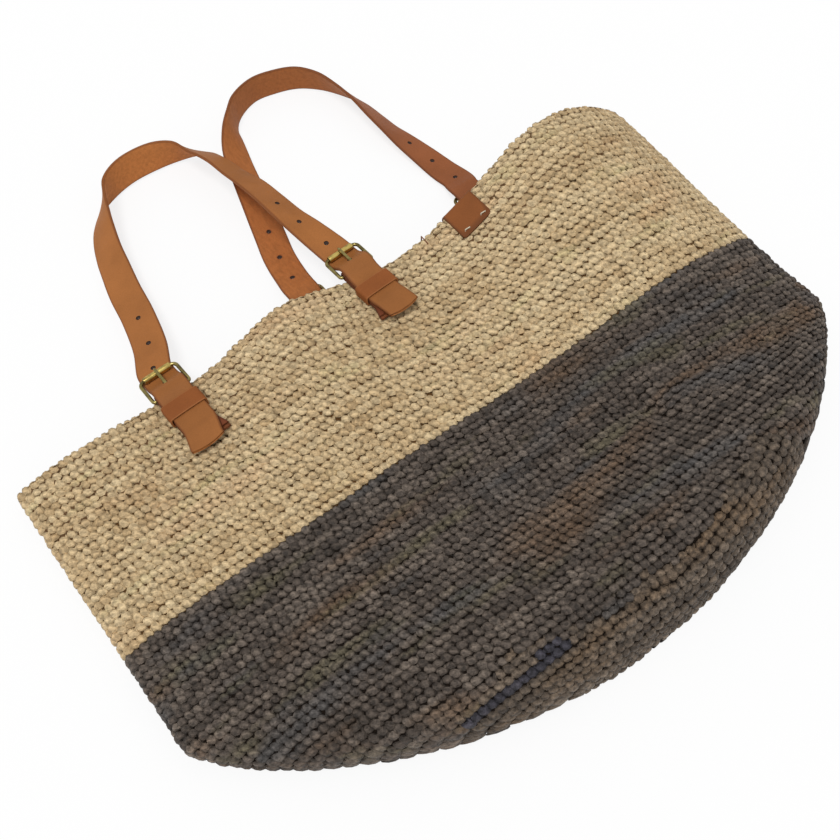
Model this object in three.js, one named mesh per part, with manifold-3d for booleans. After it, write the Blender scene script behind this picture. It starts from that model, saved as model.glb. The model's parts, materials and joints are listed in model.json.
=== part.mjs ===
// Crochet raffia bag lying on its back, with two buckled leather handles.
// Millimetres, +Z up. X runs along the mouth, Y from the base towards the handles.

import * as THREE from 'three';
import { mergeVertices } from 'three/addons/utils/BufferGeometryUtils.js';
import Module from 'manifold-3d';

const wasm = await Module();
wasm.setup();

// Bag body
const mouthWidth = 573;
const bellyWidth = 555;
const bagDepth = 333;
const cornerDepth = 214;
const cornerPower = 1.25;
const wallThickness = 3.6;
const mouthHeight = 27;
const middleHeight = 40;
const lowerHeight = 64;
const toeHeight = 5;
const foldHeight = 15;
const foldShare = 0.3;
const toeWall = 6;
const bandDepth = 145;
const baseRows = 46;
const backLiftHeight = 12.5;
const backLiftStart = 50;
const backLiftEnd = 170;
const rowGap = 0.3;
const loopSteps = 56;

// Roundness of the flattened rows: how square the ends are, how fast the front and the back flatten,
// how much of the back lies flat, how the wall thins the ends, and where the lifted back fades out
const endPower = 0.8;
const frontPower = 0.85;
const backPower = 0.45;
const backReach = 0.7;
const endInset = 1.3;
const liftFadeFrom = 0.62;
const liftFadeOver = 0.33;
const toeTurn = 0.94;

// Waves of the mouth: place along X, reach along X, height, share along Y, share along Z, reach in depth
const mouthWaves = [
  { at: -60, reach: 53, height: 23, outward: 0.68, upward: 0.3, fade: 90 },
  { at: 213, reach: 110, height: 58.5, outward: 0.45, upward: 0.8, fade: 115 },
  { at: -245, reach: 60, height: 4.5, outward: 0.45, upward: 0.8, fade: 90 },
];

// Straps, chapes and keepers
const strapWidth = 26;
const strapThickness = 2.4;
const holeDiameter = 4;
const holePitch = 28;
const holesPerLeg = 3;
const chapeThickness = 1.7;
const chapeLength = 50;
const chapeStep = 2;
const slotBehind = 5.4;
const tailLength = 57;
const tailStart = 7.4;
const tailRiseBefore = 5;
const tailRiseOver = 3.5;
const keeperThickness = 1.4;
const keeperLength = 14;
const keeperCornerRadius = 2;
const clearance = 0.3;
const sideClearance = 0.5;
const keeperMargin = 2;

// Buckles
const wireDiameter = 2.8;
const buckleLength = 21;
const buckleTipRadius = 4;
const buckleHeelRadius = 1.8;
const rollerDiameter = 5;
const rollerBore = 3.4;
const prongWidth = 2.4;
const prongThickness = 2.2;
const prongTipOverhang = 2.4;
const prongRingWall = 1.3;
const prongClearance = 0.6;
const loopStart = 4;

// Sewing thread
const threadDiameter = 1;
const threadHoleDiameter = 2.2;
const threadSlack = 0.6;
const stitchSpacing = 14;
const stitchDepth = 41;

// Label folded over the front rim
const labelX = 99;
const labelWidth = 29;
const labelThickness = 1.5;
const labelClearance = 0.6;
const labelFrontDrop = 27;
const labelBackDrop = 27;
const labelStitchDepth = 23;
const labelStitchInset = 6;
const labelStitchSpacing = 4;

// Thread tied over the rim
const rimThreadX = 62;
const rimThreadDepth = 7;

// Where the four buckles hang: x of the heel bar, its distance past the rim, the keeper's place, and the
// first hole's distance along the strap from the heel bar
const stationPlans = {
  front_left: { side: 1, x: -161, past: -1.4, keeper: 17, hole: 29 },
  front_right: { side: 1, x: 4, past: 4.4, keeper: 24.5, hole: 38 },
  back_left: { side: -1, x: -31, past: 1.1, keeper: 18, hole: 39 },
  back_right: { side: -1, x: 137, past: 3.4, keeper: 18, hole: 43 },
};

// Free run of each strap between its two rollers: x and y of its middle, height of its lowest edge
// above the floor, and its roll from flat
const frontRun = [
  [-155.6, 51, 17, 8],
  [-148, 84.5, 11.5, 12],
  [-143.7, 112.3, 8.5, 14],
  [-139.3, 136.6, 6, 22],
  [-135.5, 156.1, 4, 30],
  [-129.5, 176, 2.5, 38],
  [-123.5, 190, 1.8, 50],
  [-115.5, 204, 1, 68],
  [-104, 216.5, 1, 92],
  [-84, 226, 1, 105],
  [-57.5, 227, 1, 103],
  [-40, 221.5, 1.4, 84],
  [-30, 213, 4, 60],
  [-24.9, 203, 9.5, 42],
  [-21.6, 188.2, 15, 38],
  [-18.8, 176, 16.7, 37],
  [-16, 157.5, 18.7, 34],
  [-12, 137.3, 22.5, 27],
  [-10, 110.6, 26.8, 25],
  [-8, 82.7, 30.4, 20],
  [-3, 60, 31, 8],
];
const backRun = [
  [-30, 52, 5.3, 180],
  [-25.5, 80, 1.1, 179],
  [-19, 105, 0.4, 175],
  [-12, 132, 0.4, 168],
  [-4, 165.5, 0.4, 154],
  [3, 190.6, 0.4, 146],
  [12, 211, 0.4, 122],
  [20, 224.5, 0.4, 101],
  [32, 237, 0.5, 96],
  [54.7, 246.5, 0.5, 90],
  [75, 244.4, 0.5, 88],
  [94.5, 236.5, 0.5, 84],
  [109, 220.5, 0.5, 74],
  [118, 200, 0.5, 60],
  [123.5, 180, 0.5, 48],
  [125.4, 157.6, 0.5, 40],
  [127, 139, 0.5, 34],
  [130.3, 121, 0.5, 22],
  [134.2, 100, 0.5, 12],
  [138, 75.4, 1.2, 3],
  [139.2, 58, 4.8, 0],
];

const barRadius = wireDiameter / 2;
const eyeRadius = barRadius + clearance + chapeThickness;
const heelHeight = clearance + keeperThickness + clearance + chapeThickness + clearance + barRadius;
const chapeBottom = -eyeRadius;
const chapeTop = chapeBottom + 2 * chapeThickness + clearance;
const frameInnerWidth = strapWidth + 2 * sideClearance;
const strapOverEye = eyeRadius + clearance + strapThickness / 2;
const strapUnderRoller = -(rollerDiameter / 2 + clearance + strapThickness / 2);
const tailRest = chapeTop + clearance + strapThickness / 2;
const threadTop = chapeTop + clearance + threadDiameter / 2;
const tailRaised = threadTop + threadDiameter / 2 + clearance + strapThickness / 2;

// Materials
function finish(color, roughness, metalness) {
  return new THREE.MeshStandardMaterial({ color, roughness, metalness });
}
const naturalRaffia = () => finish(0xbda67c, 0.85, 0);
const greyRaffia = () => finish(0x4e443d, 0.85, 0);
const baseRaffia = () => finish(0x63584f, 0.85, 0);
const leather = () => finish(0x9c6440, 0.55, 0);
const brass = () => finish(0x8a7a48, 0.4, 1);
const thread = () => finish(0xd8cdb4, 0.8, 0);
const brownThread = () => finish(0x6a4527, 0.8, 0);

// Closed solids from rings of points
function signedVolume(points, faces) {
  let volume = 0;
  for (const [a, b, c] of faces) {
    volume += points[a].dot(points[b].clone().cross(points[c]));
  }
  return volume / 6;
}

function facetGeometry(points, faces) {
  const outward = signedVolume(points, faces) > 0;
  const positions = points.flatMap((point) => [point.x, point.y, point.z]);
  const index = faces.flatMap(([a, b, c]) => (outward ? [a, b, c] : [a, c, b]));
  const geometry = new THREE.BufferGeometry();
  geometry.setAttribute('position', new THREE.Float32BufferAttribute(positions, 3));
  geometry.setIndex(index);
  return geometry;
}

// Rings of equal length are joined in order; the run closes on itself or is capped at both ends.
function ringSolid(rings, closesOnItself) {
  const count = rings[0].length;
  const points = rings.flat();
  const faces = [];
  const last = closesOnItself ? rings.length : rings.length - 1;
  for (let ring = 0; ring < last; ring += 1) {
    const next = (ring + 1) % rings.length;
    for (let i = 0; i < count; i += 1) {
      const j = (i + 1) % count;
      const [a, b, c, d] = [ring * count + i, ring * count + j, next * count + j, next * count + i];
      faces.push([a, b, c], [a, c, d]);
    }
  }
  if (!closesOnItself) {
    for (const [ring, turned] of [[0, true], [rings.length - 1, false]]) {
      const middle = new THREE.Vector3();
      rings[ring].forEach((point) => middle.addScaledVector(point, 1 / count));
      points.push(middle);
      const centre = points.length - 1;
      for (let i = 0; i < count; i += 1) {
        const a = ring * count + i;
        const b = ring * count + ((i + 1) % count);
        faces.push(turned ? [centre, b, a] : [centre, a, b]);
      }
    }
  }
  return facetGeometry(points, faces);
}

function manifoldFrom(geometry) {
  const bare = geometry.clone();
  bare.deleteAttribute('normal');
  bare.deleteAttribute('uv');
  const merged = mergeVertices(bare, 1e-4);
  const mesh = new wasm.Mesh({
    numProp: 3,
    vertProperties: new Float32Array(merged.attributes.position.array),
    triVerts: new Uint32Array(merged.index.array),
  });
  mesh.merge();
  return new wasm.Manifold(mesh);
}

function geometryFrom(solid) {
  const mesh = solid.getMesh();
  const geometry = new THREE.BufferGeometry();
  geometry.setAttribute('position', new THREE.Float32BufferAttribute(mesh.vertProperties, 3));
  geometry.setIndex([...mesh.triVerts]);
  return geometry;
}

function cut(geometry, tools) {
  let solid = manifoldFrom(geometry);
  for (const tool of tools) {
    solid = solid.subtract(manifoldFrom(tool));
  }
  return geometryFrom(solid);
}

function named(name, geometry, material) {
  const mesh = new THREE.Mesh(geometry, material);
  mesh.name = name;
  return mesh;
}

// Form of the bag
function smoothStep(value) {
  const t = THREE.MathUtils.clamp(value, 0, 1);
  return t * t * (3 - 2 * t);
}

// Height of the lying bag at shares of its depth, from the mouth to the toe
const heightStations = [
  [0, mouthHeight],
  [0.24, (mouthHeight + middleHeight) / 2],
  [0.51, middleHeight],
  [0.72, (lowerHeight + middleHeight) / 2],
  [0.88, lowerHeight],
  [0.955, 0.75 * lowerHeight],
  [0.985, 0.47 * lowerHeight],
  [1, toeHeight],
];

function bagHeight(depth) {
  const share = THREE.MathUtils.clamp(depth / bagDepth, 0, 1);
  const upper = Math.max(1, heightStations.findIndex(([at]) => at >= share));
  const [from, low] = heightStations[upper - 1];
  const [to, high] = heightStations[upper];
  return THREE.MathUtils.lerp(low, high, (share - from) / (to - from));
}

function halfWidth(depth, end) {
  const side = THREE.MathUtils.lerp(mouthWidth, bellyWidth, Math.min(depth / cornerDepth, 1)) / 2;
  const rounding = THREE.MathUtils.clamp((depth - cornerDepth) / (end - cornerDepth), 0, 1);
  return side * Math.sqrt(1 - rounding ** cornerPower);
}

function waveSum(x, depth, share) {
  let total = 0;
  for (const wave of mouthWaves) {
    const across = Math.exp(-(((x - wave.at) / wave.reach) ** 2));
    const down = Math.exp(-((depth / wave.fade) ** 2));
    total += wave[share] * wave.height * across * down;
  }
  return total;
}

function backLift(x, depth) {
  const along = 1 - smoothStep((depth - backLiftStart) / (backLiftEnd - backLiftStart));
  const across = 1 - smoothStep((Math.abs(x) / (mouthWidth / 2) - liftFadeFrom) / liftFadeOver);
  return backLiftHeight * along * across;
}

// A row of the bag is a flattened oval. s is 1 on the front panel, -1 under the back one, 0 at the folds.
function rowZ(x, depth, s, inset) {
  const height = bagHeight(depth);
  const fold = Math.min(foldShare * height, foldHeight);
  if (s >= 0) {
    const top = fold + (height - inset - fold) * s ** frontPower;
    return top + waveSum(x, depth, 'upward') * Math.sqrt(s);
  }
  const floor = backLift(x, depth) + inset;
  return fold + (floor - fold) * Math.min(1, -s / backReach) ** backPower;
}

function rowY(x, depth) {
  return -depth + waveSum(x, depth, 'outward');
}

function rowPoint(angle, depth, inset, end) {
  const c = Math.cos(angle);
  const x = Math.sign(c) * Math.abs(c) ** endPower * (halfWidth(depth, end) - endInset * inset);
  return new THREE.Vector3(x, rowY(x, depth), rowZ(x, depth, Math.sin(angle), inset));
}

function row(depth, inset, end) {
  return Array.from({ length: loopSteps }, (_, i) => rowPoint((2 * Math.PI * i) / loopSteps, depth, inset, end));
}

// A point of the front (side 1) or back (side -1) panel over a place in plan
function panelPoint(x, depth, side, inset) {
  const share = Math.min(1, Math.abs(x) / (halfWidth(depth, bagDepth) - endInset * inset));
  const c = share ** (1 / endPower);
  return new THREE.Vector3(x, rowY(x, depth), rowZ(x, depth, side * Math.sqrt(1 - c * c), inset));
}

const innerEnd = bagDepth - toeWall;
const baseDepth = bagDepth - baseRows;

function wallRows(from, to, steps, inset) {
  const rows = [];
  for (let i = 0; i <= steps; i += 1) {
    const depth = THREE.MathUtils.lerp(from, to, i / steps);
    rows.push(row(depth, inset, inset > 0 ? innerEnd : bagDepth));
  }
  return rows;
}

function wallSolid(from, to, steps) {
  const outer = wallRows(from, to, steps, 0);
  const inner = wallRows(from, to, steps, wallThickness).reverse();
  return ringSolid([...outer, ...inner], true);
}

// The toe closes the bag: its rows crowd together towards the end of the depth.
function toeRows(from, end, steps, inset) {
  const rows = [];
  for (let i = 0; i <= steps; i += 1) {
    const share = Math.sin((Math.PI / 2) * (i / steps) * toeTurn);
    rows.push(row(THREE.MathUtils.lerp(from, end, share), inset, end));
  }
  return rows;
}

function toeSolid(from) {
  const outer = toeRows(from, bagDepth, 8, 0);
  const inner = toeRows(from, innerEnd, 6, wallThickness).reverse();
  return ringSolid([...inner, ...outer], false);
}

// Buckle stations: local X along the heel bar, Y out along the strap, Z away from the panel
function heelPoint(plan) {
  const near = panelPoint(plan.x, 0, plan.side, 0);
  return new THREE.Vector3(plan.x, near.y + plan.past, near.z + plan.side * heelHeight);
}

function stationFrame(plan, axis) {
  const far = panelPoint(plan.x, stitchDepth, plan.side, 0);
  const near = panelPoint(plan.x, 0, plan.side, 0);
  const outward = near.clone().sub(far);
  outward.addScaledVector(axis, -outward.dot(axis)).normalize();
  const across = axis.clone().multiplyScalar(plan.side);
  const away = across.clone().cross(outward).normalize();
  return new THREE.Matrix4().makeBasis(across, outward, away);
}

// The chape's footprint is raised until it clears the panel everywhere.
function stationLift(plan, frame, heel) {
  const away = new THREE.Vector3().setFromMatrixColumn(frame, 2);
  let lift = -Infinity;
  for (const across of [-0.5, -0.25, 0, 0.25, 0.5]) {
    for (let depth = 0; depth <= tailLength; depth += 4) {
      const place = panelPoint(plan.x + across * (strapWidth + 2 * keeperMargin), depth, plan.side, 0);
      lift = Math.max(lift, place.sub(heel).dot(away) + heelHeight);
    }
  }
  return lift;
}

const stations = {};
for (const side of ['front', 'back']) {
  const left = stationPlans[side + '_left'];
  const right = stationPlans[side + '_right'];
  const heels = [heelPoint(left), heelPoint(right)];
  let axis = heels[1].clone().sub(heels[0]).normalize();
  const lifts = [left, right].map((plan, i) => stationLift(plan, stationFrame(plan, axis), heels[i]));
  heels.forEach((heel, i) => {
    heel.z += [left, right][i].side * Math.max(0, lifts[i]);
  });
  axis = heels[1].clone().sub(heels[0]).normalize();
  [left, right].forEach((plan, i) => {
    const frame = stationFrame(plan, axis).setPosition(heels[i]);
    stations[side + (i === 0 ? '_left' : '_right')] = { ...plan, frame };
  });
}

function inStation(station, x, y, z) {
  return new THREE.Vector3(x, y, z).applyMatrix4(station.frame);
}

// A bar along local Z of a frame, used as a piece or as a cutting tool
function bar(from, to, radius, sides) {
  const along = to.clone().sub(from);
  const geometry = new THREE.CylinderGeometry(radius, radius, along.length(), sides);
  const turn = new THREE.Quaternion().setFromUnitVectors(new THREE.Vector3(0, 1, 0), along.clone().normalize());
  geometry.applyQuaternion(turn);
  const middle = from.clone().add(to).multiplyScalar(0.5);
  geometry.translate(middle.x, middle.y, middle.z);
  return geometry;
}

// An outline in the station's Y-Z plane, extruded along X and centred on it
function acrossExtrusion(outline, width) {
  const geometry = new THREE.ExtrudeGeometry(new THREE.Shape(outline), { depth: width, bevelEnabled: false });
  geometry.translate(0, 0, -width / 2);
  geometry.applyMatrix4(new THREE.Matrix4().makeBasis(
    new THREE.Vector3(0, 1, 0),
    new THREE.Vector3(0, 0, 1),
    new THREE.Vector3(1, 0, 0),
  ));
  return geometry;
}

function arcPoints(radius, fromDegrees, toDegrees, steps) {
  return Array.from({ length: steps + 1 }, (_, i) => {
    const angle = THREE.MathUtils.degToRad(THREE.MathUtils.lerp(fromDegrees, toDegrees, i / steps));
    return new THREE.Vector2(radius * Math.cos(angle), radius * Math.sin(angle));
  });
}

// The leather chape is folded round the heel bar, slotted for the prong and bored for its thread.
function chapeGeometry() {
  const boreRadius = barRadius + clearance;
  const slitTop = chapeBottom + chapeThickness + clearance;
  const slitAngle = 180 + THREE.MathUtils.radToDeg(Math.asin(-slitTop / boreRadius));
  const shoulder = 180 - THREE.MathUtils.radToDeg(Math.asin(chapeTop / eyeRadius));
  const outline = [
    new THREE.Vector2(-chapeLength, chapeBottom),
    ...arcPoints(eyeRadius, -90, shoulder, 16),
    new THREE.Vector2(-chapeLength + chapeStep, chapeTop),
    new THREE.Vector2(-chapeLength + chapeStep, slitTop),
    ...arcPoints(boreRadius, slitAngle, -90, 14),
    new THREE.Vector2(-chapeLength, chapeBottom + chapeThickness),
  ];
  const slotLength = slotBehind + eyeRadius + clearance;
  const slot = new THREE.BoxGeometry(prongWidth + 2 * clearance, slotLength, 4 * eyeRadius);
  slot.translate(0, slotLength / 2 - slotBehind, 0);
  const holes = [-1, 1].map((hand) => bar(
    new THREE.Vector3((hand * stitchSpacing) / 2, -stitchDepth, -2 * eyeRadius),
    new THREE.Vector3((hand * stitchSpacing) / 2, -stitchDepth, 2 * eyeRadius),
    threadHoleDiameter / 2,
    10,
  ));
  return cut(acrossExtrusion(outline, strapWidth), [slot, ...holes]);
}

// A closed wire bent round a rounded rectangle in the X-Y plane
function frameGeometry() {
  const half = frameInnerWidth / 2 + barRadius;
  const [tip, heel] = [buckleTipRadius, buckleHeelRadius];
  const corners = [
    [half - tip, buckleLength - tip, 0, tip],
    [-half + tip, buckleLength - tip, 90, tip],
    [-half + heel, heel, 180, heel],
    [half - heel, heel, 270, heel],
  ];
  const rings = [];
  for (const [x, y, start, radius] of corners) {
    for (const turn of [0, 30, 60, 90]) {
      const angle = THREE.MathUtils.degToRad(start + turn);
      const [dx, dy] = [Math.cos(angle), Math.sin(angle)];
      const ring = [];
      for (let i = 0; i < 10; i += 1) {
        const around = (2 * Math.PI * i) / 10;
        const reach = radius + barRadius * Math.cos(around);
        ring.push(new THREE.Vector3(x + dx * reach, y + dy * reach, barRadius * Math.sin(around)));
      }
      rings.push(ring);
    }
  }
  return ringSolid(rings, true);
}

function rollerGeometry() {
  const length = frameInnerWidth - 2 * (buckleTipRadius - barRadius);
  const profile = [
    new THREE.Vector2(rollerBore / 2, -length / 2),
    new THREE.Vector2(rollerDiameter / 2, -length / 2),
    new THREE.Vector2(rollerDiameter / 2, length / 2),
    new THREE.Vector2(rollerBore / 2, length / 2),
    new THREE.Vector2(rollerBore / 2, -length / 2),
  ];
  const geometry = new THREE.LatheGeometry(profile, 16);
  geometry.rotateZ(-Math.PI / 2);
  geometry.translate(0, buckleLength, 0);
  return geometry;
}

// The prong's arm runs from its ring on the heel bar to the top of the roller.
const armStart = new THREE.Vector2(0, barRadius + 0.5 * prongThickness);
const armEnd = new THREE.Vector2(
  buckleLength + prongTipOverhang,
  rollerDiameter / 2 + clearance + prongThickness / 2,
);

function armOutline(grow) {
  const along = armEnd.clone().sub(armStart).normalize();
  const up = new THREE.Vector2(-along.y, along.x);
  const half = prongThickness / 2 + grow;
  const tipHalf = 0.35 * prongThickness + grow;
  return [
    armStart.clone().addScaledVector(up, -half).addScaledVector(along, 0.2),
    armEnd.clone().addScaledVector(up, -half).addScaledVector(along, -prongTipOverhang),
    armEnd.clone().addScaledVector(up, -half),
    armEnd.clone().addScaledVector(up, tipHalf),
    armEnd.clone().addScaledVector(up, half).addScaledVector(along, -2 * prongTipOverhang),
    armStart.clone().addScaledVector(up, half).addScaledVector(along, 0.2),
  ];
}

function prongGeometry() {
  const ring = acrossExtrusion(arcPoints(barRadius + clearance + prongRingWall, 0, 345, 23), prongWidth);
  const arm = acrossExtrusion(armOutline(0), prongWidth);
  const bore = bar(
    new THREE.Vector3(-prongWidth, 0, 0),
    new THREE.Vector3(prongWidth, 0, 0),
    barRadius + clearance,
    16,
  );
  const joined = manifoldFrom(ring).add(manifoldFrom(arm)).subtract(manifoldFrom(bore));
  return geometryFrom(joined);
}

// The hole in use is as wide as the prong's arm and its clearance.
function prongPassage() {
  return acrossExtrusion(armOutline(prongClearance), prongWidth + 2 * prongClearance);
}

function keeperGeometry(place) {
  const innerHalf = strapWidth / 2 + sideClearance;
  const low = chapeBottom - clearance;
  const high = tailRest + strapThickness / 2 + clearance;
  const band = (grow, radius) => {
    const outline = [];
    const [x, bottom, top] = [innerHalf + grow, low - grow, high + grow];
    const centres = [
      [x - radius, top - radius, 0],
      [-x + radius, top - radius, 90],
      [-x + radius, bottom + radius, 180],
      [x - radius, bottom + radius, 270],
    ];
    for (const [cx, cz, start] of centres) {
      for (const point of arcPoints(radius, start, start + 90, 3)) {
        outline.push(new THREE.Vector2(cx + point.x, cz + point.y));
      }
    }
    return outline;
  };
  const shape = new THREE.Shape(band(keeperThickness, keeperCornerRadius));
  shape.holes.push(new THREE.Path(band(0, keeperCornerRadius - keeperThickness)));
  const geometry = new THREE.ExtrudeGeometry(shape, { depth: keeperLength, bevelEnabled: false });
  geometry.translate(0, 0, place - keeperLength / 2);
  geometry.rotateX(Math.PI / 2);
  return geometry;
}

// A leather strip whose middle line lies in the station's Y-Z plane
function stripGeometry(line) {
  const rings = line.map((point, i) => {
    const before = line[Math.max(0, i - 1)];
    const after = line[Math.min(line.length - 1, i + 1)];
    const along = after.clone().sub(before).normalize();
    const up = new THREE.Vector2(-along.y, along.x).multiplyScalar(strapThickness / 2);
    const [top, low] = [point.clone().add(up), point.clone().sub(up)];
    const half = strapWidth / 2;
    return [
      new THREE.Vector3(-half, low.x, low.y),
      new THREE.Vector3(half, low.x, low.y),
      new THREE.Vector3(half, top.x, top.y),
      new THREE.Vector3(-half, top.x, top.y),
    ];
  });
  return ringSolid(rings, false);
}

function tailGeometry() {
  const rise = tailRaised - tailRest;
  const raiseFrom = stitchDepth - tailRiseBefore;
  const line = [];
  for (let i = 0; i <= 14; i += 1) {
    const y = THREE.MathUtils.lerp(tailStart, tailLength, i / 14);
    const raised = rise * smoothStep((y - raiseFrom) / tailRiseOver);
    line.push(new THREE.Vector2(-y, tailRest + raised));
  }
  return stripGeometry(line);
}

// A closed ring of thread through two holes, from points of its middle line
function threadRing(corners) {
  const normal = corners[1].clone().sub(corners[0]).cross(corners[2].clone().sub(corners[1])).normalize();
  const rings = corners.map((corner, i) => {
    const before = corners[(i + corners.length - 1) % corners.length];
    const after = corners[(i + 1) % corners.length];
    const inward = before.clone().sub(corner).normalize().add(after.clone().sub(corner).normalize());
    const ring = [];
    for (let k = 0; k < 6; k += 1) {
      const angle = (2 * Math.PI * k) / 6;
      const point = corner.clone().addScaledVector(normal, (Math.sin(angle) * threadDiameter) / 2);
      ring.push(point.addScaledVector(inward, (Math.cos(angle) * threadDiameter) / 2));
    }
    return ring;
  });
  return ringSolid(rings, true);
}

// Where a line along a station's Z meets the inside of its panel
function insideDrop(station, x, y) {
  const away = new THREE.Vector3().setFromMatrixColumn(station.frame, 2);
  const start = inStation(station, x, y, 0);
  let drop = 0;
  for (let step = 0; step < 400; step += 1) {
    const place = start.clone().addScaledVector(away, -drop);
    const depth = depthAt(place.x, place.y);
    const inner = panelPoint(place.x, depth, station.side, wallThickness);
    if ((place.z - inner.z) * station.side < 0) {
      return drop;
    }
    drop += 0.1;
  }
  return drop;
}

function depthAt(x, y) {
  let depth = -y;
  for (let i = 0; i < 12; i += 1) {
    depth = -y + waveSum(x, Math.max(0, depth), 'outward');
  }
  return Math.max(0, depth);
}

function stitchCorners(station, middle, spacing, y, top, extra) {
  const below = Math.max(...[-1, 0, 1].map((hand) => insideDrop(station, middle + (hand * spacing) / 2, y)));
  const low = -(below + extra + threadDiameter / 2);
  const [left, right] = [middle - spacing / 2, middle + spacing / 2];
  return [
    inStation(station, left, y, top),
    inStation(station, right, y, top),
    inStation(station, right, y, low),
    inStation(station, left, y, low),
  ];
}

function stitchHoles(station, middle, spacing, y) {
  return [-1, 1].map((hand) => bar(
    inStation(station, middle + (hand * spacing) / 2, y, -4 * wallThickness),
    inStation(station, middle + (hand * spacing) / 2, y, 3 * wallThickness),
    threadHoleDiameter / 2,
    8,
  ));
}

// Handle straps: a ribbon through the two buckles and the free run between them
function strapThroughBuckle() {
  return [
    [loopStart, strapOverEye - 0.45],
    [6.5, 0.55 * strapOverEye],
    [buckleLength * 0.5, 0.1 * strapUnderRoller],
    [buckleLength * 0.76, 0.86 * strapUnderRoller],
    [buckleLength, strapUnderRoller],
    [buckleLength + 5, strapUnderRoller],
  ];
}

function handleLine(side, run) {
  const [left, right] = [stations[side + '_left'], stations[side + '_right']];
  const stops = [];
  const leftAcross = side === 'front' ? 1 : -1;
  const acrossOf = (station, hand) => {
    const across = new THREE.Vector3().setFromMatrixColumn(station.frame, 0);
    return across.multiplyScalar(hand * station.side);
  };
  for (const [y, z] of strapThroughBuckle()) {
    stops.push({ at: inStation(left, 0, y, z), across: acrossOf(left, leftAcross) });
  }
  run.forEach(([x, y, lowest, roll], i) => {
    const before = i > 0 ? run[i - 1] : [x, y - 1];
    const after = i < run.length - 1 ? run[i + 1] : [x, y - 1];
    const along = new THREE.Vector3(after[0] - before[0], after[1] - before[1], 0).normalize();
    const inner = new THREE.Vector3(along.y, -along.x, 0);
    const angle = THREE.MathUtils.degToRad(roll);
    const across = inner.multiplyScalar(Math.cos(angle)).add(new THREE.Vector3(0, 0, Math.sin(angle)));
    const rise = (strapWidth * Math.sin(angle) + strapThickness * Math.abs(Math.cos(angle))) / 2;
    stops.push({ at: new THREE.Vector3(x, y, lowest + rise), across });
  });
  for (const [y, z] of strapThroughBuckle().reverse()) {
    stops.push({ at: inStation(right, 0, y, z), across: acrossOf(right, -1) });
  }
  const line = new THREE.CatmullRomCurve3(stops.map((stop) => stop.at), false, 'centripetal');
  const acrossLine = new THREE.CatmullRomCurve3(stops.map((stop) => stop.across), false, 'catmullrom', 0.5);
  return { line, acrossLine, spans: stops.length - 1 };
}

function handleSection(handle, share) {
  const at = handle.line.getPoint(share);
  const along = handle.line.getTangent(share);
  const across = handle.acrossLine.getPoint(share);
  across.addScaledVector(along, -across.dot(along)).normalize();
  const grain = across.clone().cross(along).normalize();
  return { at, along, across, grain };
}

// Shares of the line whose distances along it are the given ones
function sharesAtDistances(handle, distances) {
  const steps = 1500;
  const shares = [];
  let travelled = 0;
  let previous = handle.line.getPoint(0);
  for (let i = 1; i <= steps && shares.length < distances.length; i += 1) {
    const point = handle.line.getPoint(i / steps);
    travelled += point.distanceTo(previous);
    previous = point;
    while (shares.length < distances.length && travelled >= distances[shares.length]) {
      shares.push(i / steps);
    }
  }
  return shares;
}

function handleGeometry(side, run) {
  const handle = handleLine(side, run);
  const sections = handle.spans * 3;
  const rings = [];
  for (let i = 0; i <= sections; i += 1) {
    const { at, across, grain } = handleSection(handle, i / sections);
    const [half, thick] = [strapWidth / 2, strapThickness / 2];
    rings.push([[-half, -thick], [half, -thick], [half, thick], [-half, thick]].map(([u, n]) => (
      at.clone().addScaledVector(across, u).addScaledVector(grain, n)
    )));
  }
  const length = handle.line.getLength();
  const distances = [];
  for (let i = 0; i < holesPerLeg; i += 1) {
    distances.push(stations[side + '_left'].hole - loopStart + i * holePitch);
    distances.push(length + loopStart - stations[side + '_right'].hole - i * holePitch);
  }
  distances.sort((a, b) => a - b);
  const holes = sharesAtDistances(handle, distances).map((share) => {
    const { at, grain } = handleSection(handle, share);
    const reach = grain.clone().multiplyScalar(2 * strapThickness);
    return bar(at.clone().sub(reach), at.clone().add(reach), holeDiameter / 2, 12);
  });
  const passages = ['_left', '_right'].map((hand) => prongPassage().applyMatrix4(stations[side + hand].frame));
  return cut(ringSolid(rings, false), [...holes, ...passages]);
}

// Leather label folded over the front rim; its two faces follow the panel.
const labelRimDepth = 1;
const alongDrop = (drop) => [0, 1 / 3, 2 / 3, 1].map((share) => THREE.MathUtils.lerp(labelRimDepth, drop, share));
const labelDepths = alongDrop(labelFrontDrop).reverse();
const labelInnerDepths = alongDrop(labelBackDrop);

function labelColumn(x) {
  const near = labelClearance;
  const far = labelClearance + labelThickness;
  const outer = (depth, lift) => panelPoint(x, depth, 1, 0).add(new THREE.Vector3(0, 0, lift));
  const inner = (depth, lift) => panelPoint(x, depth, 1, wallThickness).add(new THREE.Vector3(0, 0, -lift));
  const rimY = rowY(x, 0);
  const [rimTop, rimLow] = [panelPoint(x, 0, 1, 0).z, panelPoint(x, 0, 1, wallThickness).z];
  return [
    ...labelDepths.map((depth) => outer(depth, far)),
    new THREE.Vector3(x, rimY + far, rimTop),
    new THREE.Vector3(x, rimY + far, rimLow),
    ...labelInnerDepths.map((depth) => inner(depth, far)),
    ...[...labelInnerDepths].reverse().map((depth) => inner(depth, near)),
    new THREE.Vector3(x, rimY + near, rimLow - near),
    new THREE.Vector3(x, rimY + near, rimTop + near),
    ...[...labelDepths].reverse().map((depth) => outer(depth, near)),
  ];
}

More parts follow.
